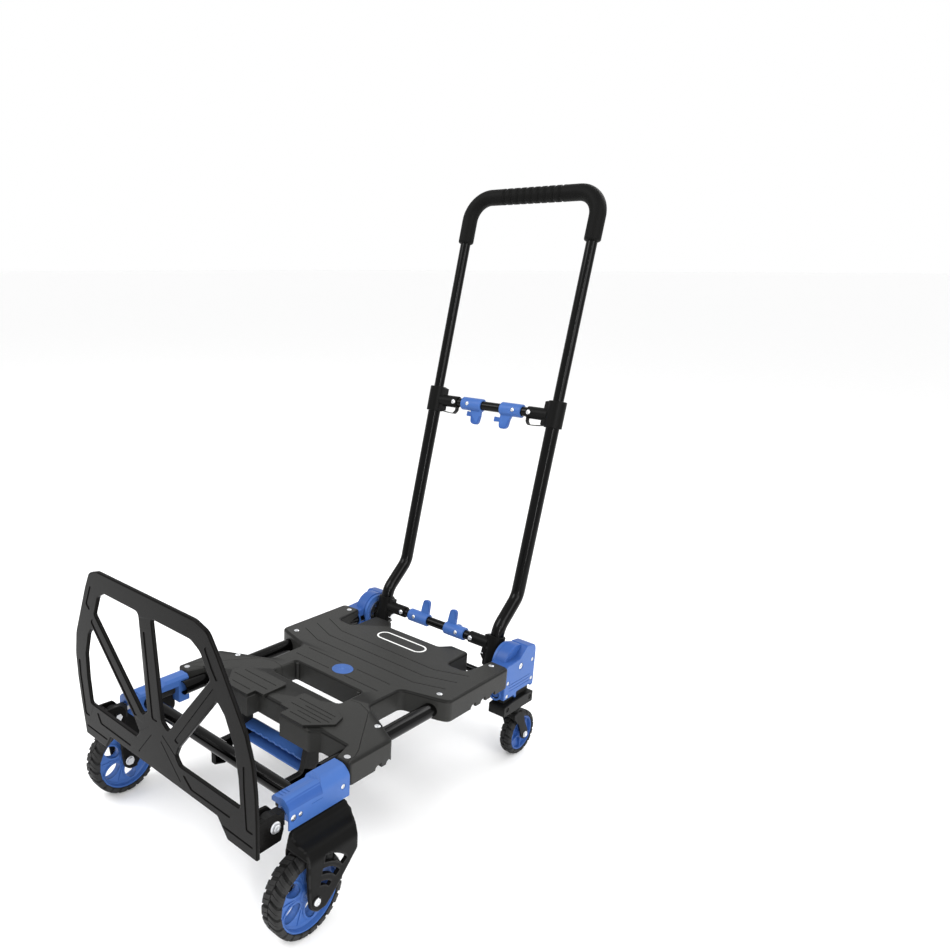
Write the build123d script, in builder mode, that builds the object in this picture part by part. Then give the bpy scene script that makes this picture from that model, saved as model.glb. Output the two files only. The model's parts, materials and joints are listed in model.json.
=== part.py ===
from build123d import *
from math import cos, pi, radians, sin
import os

os.makedirs("parts", exist_ok=True)

# ---------------------------------------------------------------- main sizes
# Millimetres. The floor is Z = 0, the toe plate faces -Y, the handle stands at +Y.
# The origin is the middle of the footprint.
pivot_y = 246.5            # handle pivot axis, ahead of the rear casters
pivot_z = 221.0
tilt = 12.5                # rearward lean of the handle at rest, degrees

side_tube_x = 193.0
side_tube_z = 213.0
side_tube_r = 14.0
wall = 2.0

deck_top = 239.0
deck_skin = 12.0
deck_bottom = 195.0

hinge_y = pivot_y - 703.0  # toe plate hinge axis
hinge_z = 200.0
toe_lean = 2.7             # forward lean of the toe plate at rest, degrees
toe_face = 47.0            # hinge axis to the outer face of the plate
toe_skin = 7.0

wheel_x = 260.0
wheel_y = pivot_y - 666.0
wheel_r = 75.0
wheel_w = 38.0
swing_x = 220.0            # axis the front wheels fold about
swing_z = 205.0

caster_x = 206.0
caster_y = pivot_y + 32.0
caster_r = 50.0
caster_w = 27.0
swivel_y = pivot_y
fold_x = 199.0             # axis the casters fold about
fold_z = 170.0

handle_x = 152.0
handle_r = 14.0
inner_r = 11.0
handle_set = 48.0          # tubes sit this far behind the pivot axis
crossbar_s = 22.0          # lower crossbar, up the handle from the pivot
mid_s = 516.0              # middle crossbar
outer_end_s = 538.0
grip_s = 866.0
top_s = 964.0

running_fit = 0.06

lean = radians(tilt)
up_handle = Vector(0, sin(lean), cos(lean))
handle_plane = Plane(
    origin=(0, pivot_y, pivot_z), x_dir=(1, 0, 0), z_dir=(0, -cos(lean), sin(lean))
)
tube_plane = handle_plane.offset(-handle_set)

toe_tilt = radians(toe_lean)
toe_axis_plane = Plane(
    origin=(0, hinge_y, hinge_z), x_dir=(1, 0, 0), z_dir=(0, -cos(toe_tilt), -sin(toe_tilt))
)
toe_outer = toe_axis_plane.offset(toe_face)
toe_inner = toe_axis_plane.offset(toe_face - toe_skin)


def across(x, y=0.0, z=0.0):
    """Plane square to X, local x along Y and local y up."""
    return Plane(origin=(x, y, z), x_dir=(0, 1, 0), z_dir=(1, 0, 0))


def along(y, x=0.0, z=0.0):
    """Plane square to Y, local x along X and local y up, extruding rearward."""
    return Plane(origin=(x, y, z), x_dir=(-1, 0, 0), z_dir=(0, 1, 0))


def on_handle(x, s, offset=0.0):
    """Plane square to X at a point given up the handle and behind the pivot axis."""
    point = handle_plane.from_local_coords(Vector(x, s, -offset))
    return Plane(origin=point, x_dir=(0, sin(lean), cos(lean)), z_dir=(1, 0, 0))


# ---------------------------------------------------------------- frame tubes
with BuildPart() as side_tubes:
    with BuildSketch(along(pivot_y - 560)):
        with Locations((side_tube_x, side_tube_z), (-side_tube_x, side_tube_z)):
            Circle(side_tube_r)
            Circle(side_tube_r - wall, mode=Mode.SUBTRACT)
    extrude(amount=607)

crossbar_y = pivot_y - 635
crossbar_z = 208.0
with BuildPart() as front_crossbar:
    with BuildSketch(across(-197.5, crossbar_y, crossbar_z)):
        Circle(14)
        Circle(12, mode=Mode.SUBTRACT)
    extrude(amount=395)

with BuildPart() as caster_pivot_tubes:
    with BuildSketch(along(pivot_y - 56.5)):
        with Locations((fold_x, fold_z), (-fold_x, fold_z)):
            Circle(10)
            Circle(8, mode=Mode.SUBTRACT)
    extrude(amount=111)

with BuildPart() as tube_end_caps:
    with BuildSketch(along(pivot_y + 47)):
        with Locations((side_tube_x, side_tube_z), (-side_tube_x, side_tube_z)):
            Circle(side_tube_r)
    extrude(amount=9)
    with BuildSketch(along(pivot_y + 40)):
        with Locations((side_tube_x, side_tube_z), (-side_tube_x, side_tube_z)):
            Circle(side_tube_r - wall)
    extrude(amount=7)
    with BuildSketch(along(pivot_y + 54.5)):
        with Locations((fold_x, fold_z), (-fold_x, fold_z)):
            Circle(10)
    extrude(amount=1.8)
    chamfer(tube_end_caps.edges().group_by(Axis.Y)[-1], 0.8)

# ---------------------------------------------------------------- rear deck
rivet_spots = ((204, -75), (208, -246), (204, -419), (222, -527))

slot_x = handle_x
slot_end = -112.0

with BuildSketch() as rear_outline:
    with BuildLine():
        Polyline(
            (0, pivot_y - 76), (60, pivot_y - 76), (68, pivot_y - 58), (218, pivot_y - 58),
            (228, pivot_y - 150), (228, pivot_y - 258), (206, pivot_y - 264),
            (148, pivot_y - 292), (138, pivot_y - 306), (138, pivot_y - 352),
            (0, pivot_y - 352), (0, pivot_y - 76), close=False,
        )
    make_face()
    mirror(about=Plane.YZ)

with BuildPart() as rear_deck:
    with BuildSketch(Plane.XY.offset(deck_bottom)):
        add(rear_outline.sketch)
    extrude(amount=deck_top - deck_bottom)
    corner = rear_deck.edges().filter_by(Axis.Z)
    fillet([e for e in corner if abs(e.center().X) > 200], 16)
    fillet([e for e in corner if 100 < abs(e.center().X) < 150 and e.center().Y < pivot_y - 280
            and e.center().Y > pivot_y - 340], 6)
    # hollow underside
    with BuildSketch(Plane.XY.offset(deck_bottom)):
        offset(rear_outline.sketch, amount=-5)
    extrude(amount=deck_top - deck_skin - deck_bottom, mode=Mode.SUBTRACT)
    # stiffening ribs across the hollow
    for y in (-130, -200, -262, -320):
        with BuildSketch(Plane.XY.offset(deck_top - deck_skin - 12)):
            with Locations((0, pivot_y + y)):
                Rectangle(256, 4)
        extrude(amount=12)
    # slots that let the handle tubes swing through the rear edge
    with BuildSketch(Plane.XY.offset(deck_bottom)):
        for s in (-1, 1):
            with Locations((s * slot_x, pivot_y - 84)):
                Rectangle(40, 56)
            with Locations((s * slot_x, pivot_y - 50)):
                Rectangle(40, 20)
    extrude(amount=deck_top - deck_bottom, mode=Mode.SUBTRACT)
    # passages for the side tubes
    with BuildSketch(along(pivot_y - 360)):
        with Locations((side_tube_x, side_tube_z), (-side_tube_x, side_tube_z)):
            Circle(side_tube_r)
    extrude(amount=320, mode=Mode.SUBTRACT)
    # shallow grooves in the top
    for y, half in ((-172, 150), (-206, 150), (-240, 150)):
        with BuildSketch(Plane.XY.offset(deck_top - 1.2)):
            with Locations((0, pivot_y + y)):
                Rectangle(2 * half, 2.2)
        extrude(amount=1.2, mode=Mode.SUBTRACT)
    # hook notches along the lower edge of the skirts
    with BuildSketch(across(-240)):
        for y in (-112, -145, -178):
            with Locations((pivot_y + y, deck_bottom)):
                Circle(8)
    extrude(amount=480, mode=Mode.SUBTRACT)
    # recess that takes the badge
    with BuildSketch(Plane.XY.offset(deck_top - 2)):
        with Locations((0, pivot_y - 304)):
            Circle(20)
    extrude(amount=2, mode=Mode.SUBTRACT)
    # seats of the rivets
    with BuildSketch(Plane.XY.offset(deck_top - 2)):
        for x, y in rivet_spots[:2]:
            with Locations((x, pivot_y + y), (-x, pivot_y + y)):
                Circle(5)
    extrude(amount=2, mode=Mode.SUBTRACT)
    # pocket for the nameplate outline
    with BuildSketch(Plane.XY.offset(deck_top - 1)):
        with Locations((0, pivot_y - 121)):
            SlotOverall(126, 36)
            SlotOverall(119, 29, mode=Mode.SUBTRACT)
    extrude(amount=1, mode=Mode.SUBTRACT)
    top = rear_deck.faces().group_by(Axis.Z)[-1].edges().filter_by(GeomType.LINE)
    rim = [e for e in top if abs(e.center().X) > 226]
    chamfer(rim, 4)

with BuildPart() as deck_badge:
    with BuildSketch(Plane.XY.offset(deck_top - 2)):
        with Locations((0, pivot_y - 304)):
            Circle(20)
    extrude(amount=2)
    with BuildSketch(Plane.XY.offset(deck_top - 1)):
        with Locations((0, pivot_y - 304)):
            Circle(16)
            Circle(14.5, mode=Mode.SUBTRACT)
            Circle(10)
            Circle(8.5, mode=Mode.SUBTRACT)
    extrude(amount=1, mode=Mode.SUBTRACT)

with BuildPart() as nameplate_outline:
    with BuildSketch(Plane.XY.offset(deck_top - 1)):
        with Locations((0, pivot_y - 121)):
            SlotOverall(126, 36)
            SlotOverall(119, 29, mode=Mode.SUBTRACT)
    extrude(amount=1)

# ---------------------------------------------------------------- front deck
front_edge = -516.0
with BuildSketch() as front_outline:
    with BuildLine():
        Polyline(
            (0, pivot_y - 352.4), (138, pivot_y - 352.4), (138, pivot_y - 372),
            (160, pivot_y - 392), (222, pivot_y - 412), (236, pivot_y - 424),
            (238, pivot_y - 538), (186, pivot_y - 538), (178, pivot_y + front_edge),
            (30, pivot_y + front_edge), (20, pivot_y - 500), (0, pivot_y - 500),
            (0, pivot_y - 352.4),
        )
    make_face()
    mirror(about=Plane.YZ)

with BuildPart() as front_deck:
    with BuildSketch(Plane.XY.offset(deck_bottom)):
        add(front_outline.sketch)
    extrude(amount=deck_top - deck_bottom)
    corner = front_deck.edges().filter_by(Axis.Z)
    fillet([e for e in corner if abs(e.center().X) > 215 and e.center().Y > pivot_y - 500], 8)
    with BuildSketch(Plane.XY.offset(deck_bottom)):
        offset(front_outline.sketch, amount=-5)
    extrude(amount=deck_top - deck_skin - deck_bottom, mode=Mode.SUBTRACT)
    for x in (-120, -60, 60, 120):
        with BuildSketch(Plane.XY.offset(deck_top - deck_skin - 12)):
            with Locations((x, pivot_y - 460)):
                Rectangle(4, 104)
        extrude(amount=12)
    # seats of the rivets
    with BuildSketch(Plane.XY.offset(deck_top - 2)):
        for x, y in rivet_spots[2:]:
            with Locations((x, pivot_y + y), (-x, pivot_y + y)):
                Circle(5)
    extrude(amount=2, mode=Mode.SUBTRACT)
    # hand hole
    with BuildSketch(Plane.XY.offset(deck_bottom)):
        with Locations((0, pivot_y - 378)):
            RectangleRounded(180, 64, 10)
    extrude(amount=deck_top - deck_bottom, mode=Mode.SUBTRACT)
    # raised pads
    with BuildSketch(Plane.XY.offset(deck_top)):
        with BuildLine():
            Polyline(
                (26, pivot_y - 424), (26, pivot_y - 496), (34, pivot_y - 506),
                (110, pivot_y - 506), (146, pivot_y - 470), (146, pivot_y - 448),
                (120, pivot_y - 424), close=True,
            )
        make_face()
        mirror(about=Plane.YZ)
    extrude(amount=5, taper=30)
    # side tube passages and the seats of the front housings
    with BuildSketch(along(pivot_y - 545)):
        with Locations((side_tube_x, side_tube_z), (-side_tube_x, side_tube_z)):
            Circle(side_tube_r)
    extrude(amount=170, mode=Mode.SUBTRACT)
    with BuildSketch(across(-240)):
        for y in (-440, -468):
            with Locations((pivot_y + y, deck_bottom)):
                Circle(8)
    extrude(amount=480, mode=Mode.SUBTRACT)

with BuildPart() as deck_rivets:
    for x, y in rivet_spots:
        for s in (-1, 1):
            with BuildSketch(Plane.XY.offset(deck_top - 2)):
                with Locations((s * x, pivot_y + y)):
                    Circle(5)
            extrude(amount=2)

# ---------------------------------------------------------------- front housings
with BuildPart() as front_housing_right:
    with BuildSketch(along(pivot_y - 677)):
        with BuildLine():
            Polyline((-198, 236), (-228, 236), (-240, 222), (-240, 180), (-198, 180), close=True)
        make_face()
    extrude(amount=137)
    fillet(front_housing_right.edges().filter_by(Axis.Y).group_by(Axis.X)[-1], 5)
    # room for the wheel fork, open below and to the inside
    with BuildSketch(Plane.XY.offset(175)):
        with Locations((0, pivot_y - 594.5)):
            with Locations((200, 0)):
                Rectangle(70, 59)
    extrude(amount=55, mode=Mode.SUBTRACT)
    with BuildSketch(Plane.XY.offset(175)):
        with Locations((217.5, pivot_y - 642)):
            Rectangle(35, 20)
    extrude(amount=16, mode=Mode.SUBTRACT)
    # bore for the swing pin
    with BuildSketch(along(pivot_y - 677)):
        with Locations((-swing_x, swing_z)):
            Circle(7)
    extrude(amount=137, mode=Mode.SUBTRACT)
    # side tube socket
    with BuildSketch(along(pivot_y - 560)):
        with Locations((-side_tube_x, side_tube_z)):
            Circle(side_tube_r)
    extrude(amount=30, mode=Mode.SUBTRACT)
    with BuildSketch(along(pivot_y - 677)):
        for z in (214, 220, 226):
            with Locations((-240.5, z)):
                Rectangle(3, 2.0)
    extrude(amount=36, mode=Mode.SUBTRACT)

with BuildPart() as front_housing_left:
    mirror(front_housing_right.part, about=Plane.YZ)

with BuildPart() as swing_pins:
    with BuildSketch(along(pivot_y - 676.5)):
        with Locations((swing_x, swing_z), (-swing_x, swing_z)):
            Circle(7)
    extrude(amount=136)

with BuildPart() as toe_hinge_knuckles:
    for s in (-1, 1):
        with BuildSketch(across(s * 221 - 9)):
            with BuildLine():
                Polyline(
                    (hinge_y, hinge_z + 13), (pivot_y - 677.2, hinge_z + 12),
                    (pivot_y - 677.2, hinge_z - 12), (hinge_y, hinge_z - 13), close=True,
                )
            make_face()
            with Locations((hinge_y, hinge_z)):
                Circle(15)
                Circle(5 + running_fit, mode=Mode.SUBTRACT)
        extrude(amount=18)

# ---------------------------------------------------------------- rear housings
with BuildPart() as rear_housing_right:
    with BuildSketch(along(pivot_y - 57)):
        with BuildLine():
            Polyline((-180, 236), (-214, 236), (-220, 228), (-220, 152), (-180, 152), close=True)
        make_face()
    extrude(amount=112)
    fillet(rear_housing_right.edges().filter_by(Axis.X).group_by(Axis.Z)[-1], 6)
    with BuildSketch(across(174, pivot_y, pivot_z)):
        Circle(43)
    extrude(amount=27)
    # space for the caster knuckle, open below and to the inside
    with BuildSketch(Plane.XY.offset(140)):
        with Locations((190, pivot_y - 1)):
            Rectangle(49, 95)
    extrude(amount=58, mode=Mode.SUBTRACT)
    with BuildSketch(along(pivot_y - 60)):
        with Locations((-177, 170)):
            Rectangle(30, 44)
    extrude(amount=120, mode=Mode.SUBTRACT)
    with BuildSketch(along(pivot_y - 57)):
        with Locations((-fold_x, fold_z)):
            Circle(10)
        with Locations((-side_tube_x, side_tube_z)):
            Circle(side_tube_r)
    extrude(amount=112, mode=Mode.SUBTRACT)
    with BuildSketch(across(170, pivot_y, pivot_z)):
        Circle(5 + running_fit)
    extrude(amount=9.5, mode=Mode.SUBTRACT)
    with BuildSketch(across(219, pivot_y, 0)):
        for y in (-34, -28):
            with Locations((y, 195)):
                Rectangle(1.6, 70)
    extrude(amount=2, mode=Mode.SUBTRACT)
    with BuildSketch(across(190, pivot_y)):
        with BuildLine():
            Polyline((20, 140), (20, 172), (-22, 172), (-22, 140), close=True)
        make_face()
    extrude(amount=40, mode=Mode.SUBTRACT)

with BuildPart() as rear_housing_left:
    mirror(rear_housing_right.part, about=Plane.YZ)

with BuildPart() as housing_screws:
    for s in (-1, 1):
        with BuildSketch(across(s * 220)):
            with Locations((pivot_y, 219)):
                Circle(8)
            for y, z in ((-45, 222), (-45, 168), (43, 222), (43, 168)):
                with Locations((pivot_y + y, z)):
                    Circle(4)
        extrude(amount=s * 2.2)
        with BuildSketch(across(s * 240)):
            for y, z in ((-663, 195), (-645, 197), (-553, 203)):
                with Locations((pivot_y + y, z)):
                    Circle(4.5)
        extrude(amount=s * 2.2)

# ---------------------------------------------------------------- support frame
with BuildPart() as support_frame:
    for s in (-1, 1):
        with BuildSketch(across(s * 92 - 5)):
            with BuildLine():
                Polyline(
                    (pivot_y - 568, 124), (pivot_y - 568, 92), (pivot_y - 540, 84),
                    (pivot_y - 520, 118), (pivot_y - 468, 124), (pivot_y - 468, 215),
                    (pivot_y - 492, 215), (pivot_y - 510, 138), (pivot_y - 556, 138),
                    close=True,
                )
            make_face()
        extrude(amount=10)
    with BuildSketch(across(-87, pivot_y - 484, 206)):
        Rectangle(10, 14)
    extrude(amount=174)
    with BuildSketch(Plane.XY.offset(213)):
        for s in (-1, 1):
            with Locations((s * 92, pivot_y - 480)):
                Rectangle(24, 24)
    extrude(amount=14)

with BuildPart() as release_grip:
    with BuildSketch(across(-84, pivot_y, 0)):
        with BuildLine():
            Polyline(
                (-496, 152), (-470, 158), (-462, 152), (-462, 128), (-470, 122), (-496, 122),
                (-496, 126), (-472, 127), (-467, 132), (-467, 149), (-472, 153), (-495, 148),
                close=True,
            )
        make_face()
    extrude(amount=168)
    with BuildSketch(Plane.XY.offset(140)):
        for n in range(7):
            with Locations((-54 + 18 * n, pivot_y - 500)):
                Circle(7)
    extrude(amount=20, mode=Mode.SUBTRACT)

# ---------------------------------------------------------------- handle hub
with BuildPart() as hub_discs:
    for s in (-1, 1):
        with BuildSketch(across(s * 172 - 1.5, pivot_y, pivot_z)):
            Circle(28)
            Circle(5, mode=Mode.SUBTRACT)
            with PolarLocations(20, 6):
                Circle(2.5, mode=Mode.SUBTRACT)
        extrude(amount=3)

with BuildPart() as pivot_bolts:
    for s in (-1, 1):
        with BuildSketch(across(s * 154.5 - 23.5, pivot_y, pivot_z)):
            Circle(5)
        extrude(amount=47)
        with BuildSketch(across(s * 127.5 - 3.5, pivot_y, pivot_z)):
            RegularPolygon(8.5, 6)
        extrude(amount=7)

# ---------------------------------------------------------------- handle, lower part
with BuildPart() as outer_tubes:
    for s in (-1, 1):
        base = Plane(
            origin=(s * handle_x, pivot_y, pivot_z), x_dir=(0, sin(lean), cos(lean)),
            z_dir=(-1, 0, 0),
        )
        with BuildLine(base) as path:
            FilletPolyline((-60, 0), (62, 0), (128, handle_set), (outer_end_s, handle_set), radius=45)
        with BuildSketch(Plane(origin=path.line @ 0, z_dir=path.line % 0)):
            Circle(handle_r)
            Circle(handle_r - wall, mode=Mode.SUBTRACT)
        sweep(path=path.line)
    with BuildSketch(across(-180, pivot_y, pivot_z)):
        Circle(5 + running_fit)
    extrude(amount=360, mode=Mode.SUBTRACT)

with BuildPart() as handle_end_bar:
    with BuildSketch(on_handle(-138.2, -45)):
        Circle(8)
        Circle(6, mode=Mode.SUBTRACT)
    extrude(amount=276.4)
    with BuildSketch(Plane(origin=handle_plane.from_local_coords(Vector(0, -60, 0)),
                           x_dir=(1, 0, 0), z_dir=up_handle)):
        with Locations((handle_x, 0), (-handle_x, 0)):
            Circle(handle_r)
    extrude(amount=30, mode=Mode.SUBTRACT)

with BuildPart() as pivot_collars:
    collar_base = Plane(
        origin=handle_plane.from_local_coords(Vector(0, -24, 0)), x_dir=(1, 0, 0),
        z_dir=up_handle,
    )
    with BuildSketch(collar_base):
        with Locations((handle_x, 0), (-handle_x, 0)):
            Circle(18)
            Circle(handle_r, mode=Mode.SUBTRACT)
    extrude(amount=68)
    for s in (-1, 1):
        with BuildSketch(on_handle(s * 112 - 23, crossbar_s)):
            Circle(13)
            Circle(10, mode=Mode.SUBTRACT)
        extrude(amount=46)
    with BuildSketch(collar_base):
        with Locations((handle_x, 0), (-handle_x, 0)):
            Circle(handle_r)
    extrude(amount=68, mode=Mode.SUBTRACT)
    with BuildSketch(across(-180, pivot_y, pivot_z)):
        Circle(5 + running_fit)
    extrude(amount=360, mode=Mode.SUBTRACT)

with BuildPart() as lower_crossbar:
    with BuildSketch(on_handle(-134, crossbar_s)):
        Circle(10)
        Circle(8, mode=Mode.SUBTRACT)
    extrude(amount=268)

with BuildPart() as mid_collars:
    collar_mid = Plane(
        origin=tube_plane.from_local_coords(Vector(0, 490, 0)), x_dir=(1, 0, 0),
        z_dir=up_handle,
    )
    with BuildSketch(collar_mid):
        with Locations((handle_x, 0), (-handle_x, 0)):
            Circle(18.5)
    extrude(amount=56)
    for s in (-1, 1):
        with BuildSketch(on_handle(s * 112 - 23, mid_s, handle_set)):
            Circle(13)
        extrude(amount=46)
        with BuildSketch(on_handle(s * 111.5 - 22.5, mid_s, handle_set)):
            Circle(10)
        extrude(amount=45, mode=Mode.SUBTRACT)
    with BuildSketch(collar_mid):
        with Locations((handle_x, 0), (-handle_x, 0)):
            Circle(handle_r)
    extrude(amount=48, mode=Mode.SUBTRACT)
    with BuildSketch(collar_mid):
        with Locations((handle_x, 0), (-handle_x, 0)):
            Circle(inner_r + running_fit)
    extrude(amount=60, mode=Mode.SUBTRACT)

with BuildPart() as mid_crossbar:
    with BuildSketch(on_handle(-133.4, mid_s, handle_set)):
        Circle(10)
        Circle(8, mode=Mode.SUBTRACT)
    extrude(amount=266.8)

with BuildPart() as guard_loops:
    for s in (-1, 1):
        with BuildLine(tube_plane) as loop_path:
            FilletPolyline(
                (s * 132.5, 495), (s * 122, 488), (s * 100, 478), (s * 93, 500), radius=4
            )
        with BuildSketch(Plane(origin=loop_path.line @ 0, z_dir=loop_path.line % 0)):
            Circle(1.8)
        sweep(path=loop_path.line)

with BuildPart() as handle_rivets:
    for s in (-1, 1):
        for plane, at in ((handle_plane, crossbar_s), (tube_plane, mid_s)):
            with BuildSketch(plane.offset(13)):
                with Locations((s * 96, at)):
                    Circle(4.5)
            extrude(amount=2, taper=25)
        with BuildSketch(tube_plane.offset(18.6)):
            with Locations((s * handle_x, 502), (s * handle_x, 530)):
                Circle(3)
        extrude(amount=1.5)


def lever(side, plane, bar_s, bar_offset, tab):
    """Blue squeeze lever: a sleeve on the crossbar with a finger tab."""
    with BuildPart() as piece:
        with BuildSketch(on_handle(side * 50 - 26, bar_s, bar_offset)):
            Circle(14.5)
        extrude(amount=52)
        with BuildSketch(plane.offset(-4.5)):
            with Locations((side * 35, bar_s + tab * 12)):
                Rectangle(22, 40)
            with Locations((side * 35, bar_s + tab * 34)):
                Circle(11)
        extrude(amount=9)
        with BuildSketch(on_handle(side * 50 - 27, bar_s, bar_offset)):
            Circle(10 + running_fit)
        extrude(amount=54, mode=Mode.SUBTRACT)
    return piece


lever_lower_left = lever(-1, handle_plane, crossbar_s, 0, 1)
lever_lower_right = lever(1, handle_plane, crossbar_s, 0, 1)
lever_upper_left = lever(-1, tube_plane, mid_s, handle_set, -1)
lever_upper_right = lever(1, tube_plane, mid_s, handle_set, -1)

# ---------------------------------------------------------------- handle, upper part
with BuildPart() as inner_tube:
    with BuildLine(tube_plane) as inner_path:
        FilletPolyline(
            (-handle_x, 475), (-handle_x, top_s), (handle_x, top_s), (handle_x, 475), radius=56
        )
    with BuildSketch(Plane(origin=inner_path.line @ 0, z_dir=inner_path.line % 0)):
        Circle(inner_r)
        Circle(inner_r - 1.5, mode=Mode.SUBTRACT)
    sweep(path=inner_path.line)

with BuildPart() as grip:
    with BuildLine(tube_plane) as grip_path:
        FilletPolyline(
            (-handle_x, grip_s), (-handle_x, top_s), (handle_x, top_s), (handle_x, grip_s),
            radius=56,
        )
    with BuildSketch(Plane(origin=grip_path.line @ 0, z_dir=grip_path.line % 0)):
        Circle(17)
        Circle(inner_r, mode=Mode.SUBTRACT)
    sweep(path=grip_path.line)

# ---------------------------------------------------------------- toe plate
with BuildPart() as toe_plate:
    with BuildSketch(toe_inner):
        with BuildLine():
            Polyline(
                (0, 1), (156, 1), (178, -31), (246, -31), (250, 40), (252, 80), (250, 130),
                (237, 178), (209, 234), (181, 290), (160, 318), (134, 331), (0, 331), close=True,
            )
        make_face()
        mirror(about=Plane.YZ)
    extrude(amount=toe_skin)
    # windows
    with BuildSketch(toe_inner):
        for s in (-1, 1):
            with BuildLine():
                Polyline(
                    (s * 22, 294), (s * 118, 294), (s * 140, 280), (s * 160, 240), (s * 33, 100),
                    (s * 24, 110), close=True,
                )
            make_face()
            with BuildLine():
                Polyline(
                    (s * 172, 212), (s * 204, 150), (s * 212, 100), (s * 212, 46), (s * 196, 46),
                    (s * 60, 44), (s * 52, 58), (s * 60, 78), close=True,
                )
            make_face()
    extrude(amount=toe_skin, mode=Mode.SUBTRACT)
    toe_corners = toe_plate.edges().filter_by(Axis((0, 0, 0), toe_inner.z_dir))
    fillet(
        [e for e in toe_corners if 20 < abs(e.center().X) < 215 and e.center().Z > hinge_z + 35],
        5,
    )
    # hinge boxes, a cheek each side of the knuckle
    for s in (-1, 1):
        for x in (207.5, 234.5):
            with BuildSketch(across(s * x - 2.3)):
                with BuildLine():
                    Polyline(
                        (hinge_y - 42, hinge_z - 32), (hinge_y + 12, hinge_z - 30),
                        (hinge_y + 18, hinge_z - 12), (hinge_y + 18, hinge_z + 8),
                        (hinge_y + 8, hinge_z + 20), (hinge_y - 43, hinge_z + 22), close=True,
                    )
                make_face()
                with Locations((hinge_y, hinge_z)):
                    Circle(5, mode=Mode.SUBTRACT)
            extrude(amount=4.6)
        with BuildSketch(across(s * 221 - 15)):
            with BuildLine():
                Polyline(
                    (hinge_y - 42, hinge_z - 32), (hinge_y - 18, hinge_z - 31),
                    (hinge_y - 18, hinge_z + 21), (hinge_y - 43, hinge_z + 22), close=True,
                )
            make_face()
        extrude(amount=30)

with BuildPart() as toe_hinge_bolts:
    for s in (-1, 1):
        with BuildSketch(across(s * 221 - 15.9, hinge_y, hinge_z)):
            Circle(5)
        extrude(amount=31.8)
        with BuildSketch(across(s * 239.3 - 2.5, hinge_y, hinge_z)):
            Circle(9)
        extrude(amount=5)
        with BuildSketch(across(s * 202.7 - 2.5, hinge_y, hinge_z)):
            RegularPolygon(8, 6)
        extrude(amount=5)

# ---------------------------------------------------------------- front wheels
with BuildPart() as front_fork_right:
    # barrel and neck
    with BuildSketch(along(pivot_y - 612)):
        with Locations((-swing_x, swing_z)):
            Circle(12)
        with Locations((-222, 182)):
            Rectangle(16, 40)
        with Locations((-231, 168)):
            Rectangle(30, 16)
    extrude(amount=44)
    # roof over the wheel
    with BuildSketch(across(232)):
        with BuildLine():
            Polyline(
                (pivot_y - 668, 154), (pivot_y - 576, 154), (pivot_y - 568, 166),
                (pivot_y - 600, 168), (pivot_y - 656, 166), close=True,
            )
        make_face()
    extrude(amount=59)
    # outer cover
    cover = (
        (-684, 78), (-670, 150), (-668, 168), (-600, 174), (-574, 160), (-568, 126),
        (-596, 96), (-650, 60), (-668, 56), (-680, 64),
    )
    with BuildSketch(across(284)):
        with BuildLine():
            Polyline(*[(pivot_y + y, z) for y, z in cover], close=True)
        make_face()
    extrude(amount=7)
    # inner arm
    with BuildSketch(across(234.5)):
        with BuildLine():
            Polyline(
                (pivot_y - 680, 70), (pivot_y - 668, 160), (pivot_y - 600, 170),
                (pivot_y - 576, 160), (pivot_y - 600, 120), (pivot_y - 654, 64), close=True,
            )
        make_face()
        with Locations((wheel_y, wheel_r)):
            Circle(15)
    extrude(amount=4.5)
    # curved vents in the cover
    for y, z, w in ((-606, 140, 40), (-622, 120, 32), (-638, 100, 22)):
        with BuildSketch(across(280)):
            with Locations((pivot_y + y, z)):
                SlotOverall(w, 8, rotation=20)
        extrude(amount=14, mode=Mode.SUBTRACT)
    with BuildSketch(along(pivot_y - 620)):
        with Locations((-swing_x, swing_z)):
            Circle(7 + running_fit)
    extrude(amount=60, mode=Mode.SUBTRACT)
    with BuildSketch(across(220, wheel_y, wheel_r)):
        Circle(5)
    extrude(amount=80, mode=Mode.SUBTRACT)

with BuildPart() as front_fork_left:
    mirror(front_fork_right.part, about=Plane.YZ)

with BuildPart() as front_axle_right:
    with BuildSketch(across(234.5, wheel_y, wheel_r)):
        Circle(5)
    extrude(amount=56.5)
    with BuildSketch(across(229.5, wheel_y, wheel_r)):
        RegularPolygon(8, 6)
    extrude(amount=5)
    with BuildSketch(across(291, wheel_y, wheel_r)):
        Circle(9)
    extrude(amount=3.5)

with BuildPart() as front_axle_left:
    mirror(front_axle_right.part, about=Plane.YZ)


def wheel_hub(x, y, radius, width, bore, holes):
    """Wheel centre with a rim, a thin web, oval holes and an axle boss."""
    with BuildPart() as piece:
        with BuildSketch(across(x - width / 2, y, radius[0])):
            Circle(radius[1])
        extrude(amount=width)
        for face in (-1, 1):
            start = x - width / 2 if face < 0 else x + 3.5
            with BuildSketch(across(start, y, radius[0])):
                Circle(radius[1] - 5)
                Circle(bore + 9, mode=Mode.SUBTRACT)
            extrude(amount=width / 2 - 3.5, mode=Mode.SUBTRACT)
        with BuildSketch(across(x - width, y, radius[0])):
            Circle(bore + running_fit)
        extrude(amount=2 * width, mode=Mode.SUBTRACT)
        if holes:
            with BuildSketch(across(x - width, y, radius[0])):
                with PolarLocations((radius[1] - 5 + bore + 9) / 2, holes, start_angle=20):
                    SlotOverall(32, 20)
            extrude(amount=2 * width, mode=Mode.SUBTRACT)
    return piece


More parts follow.
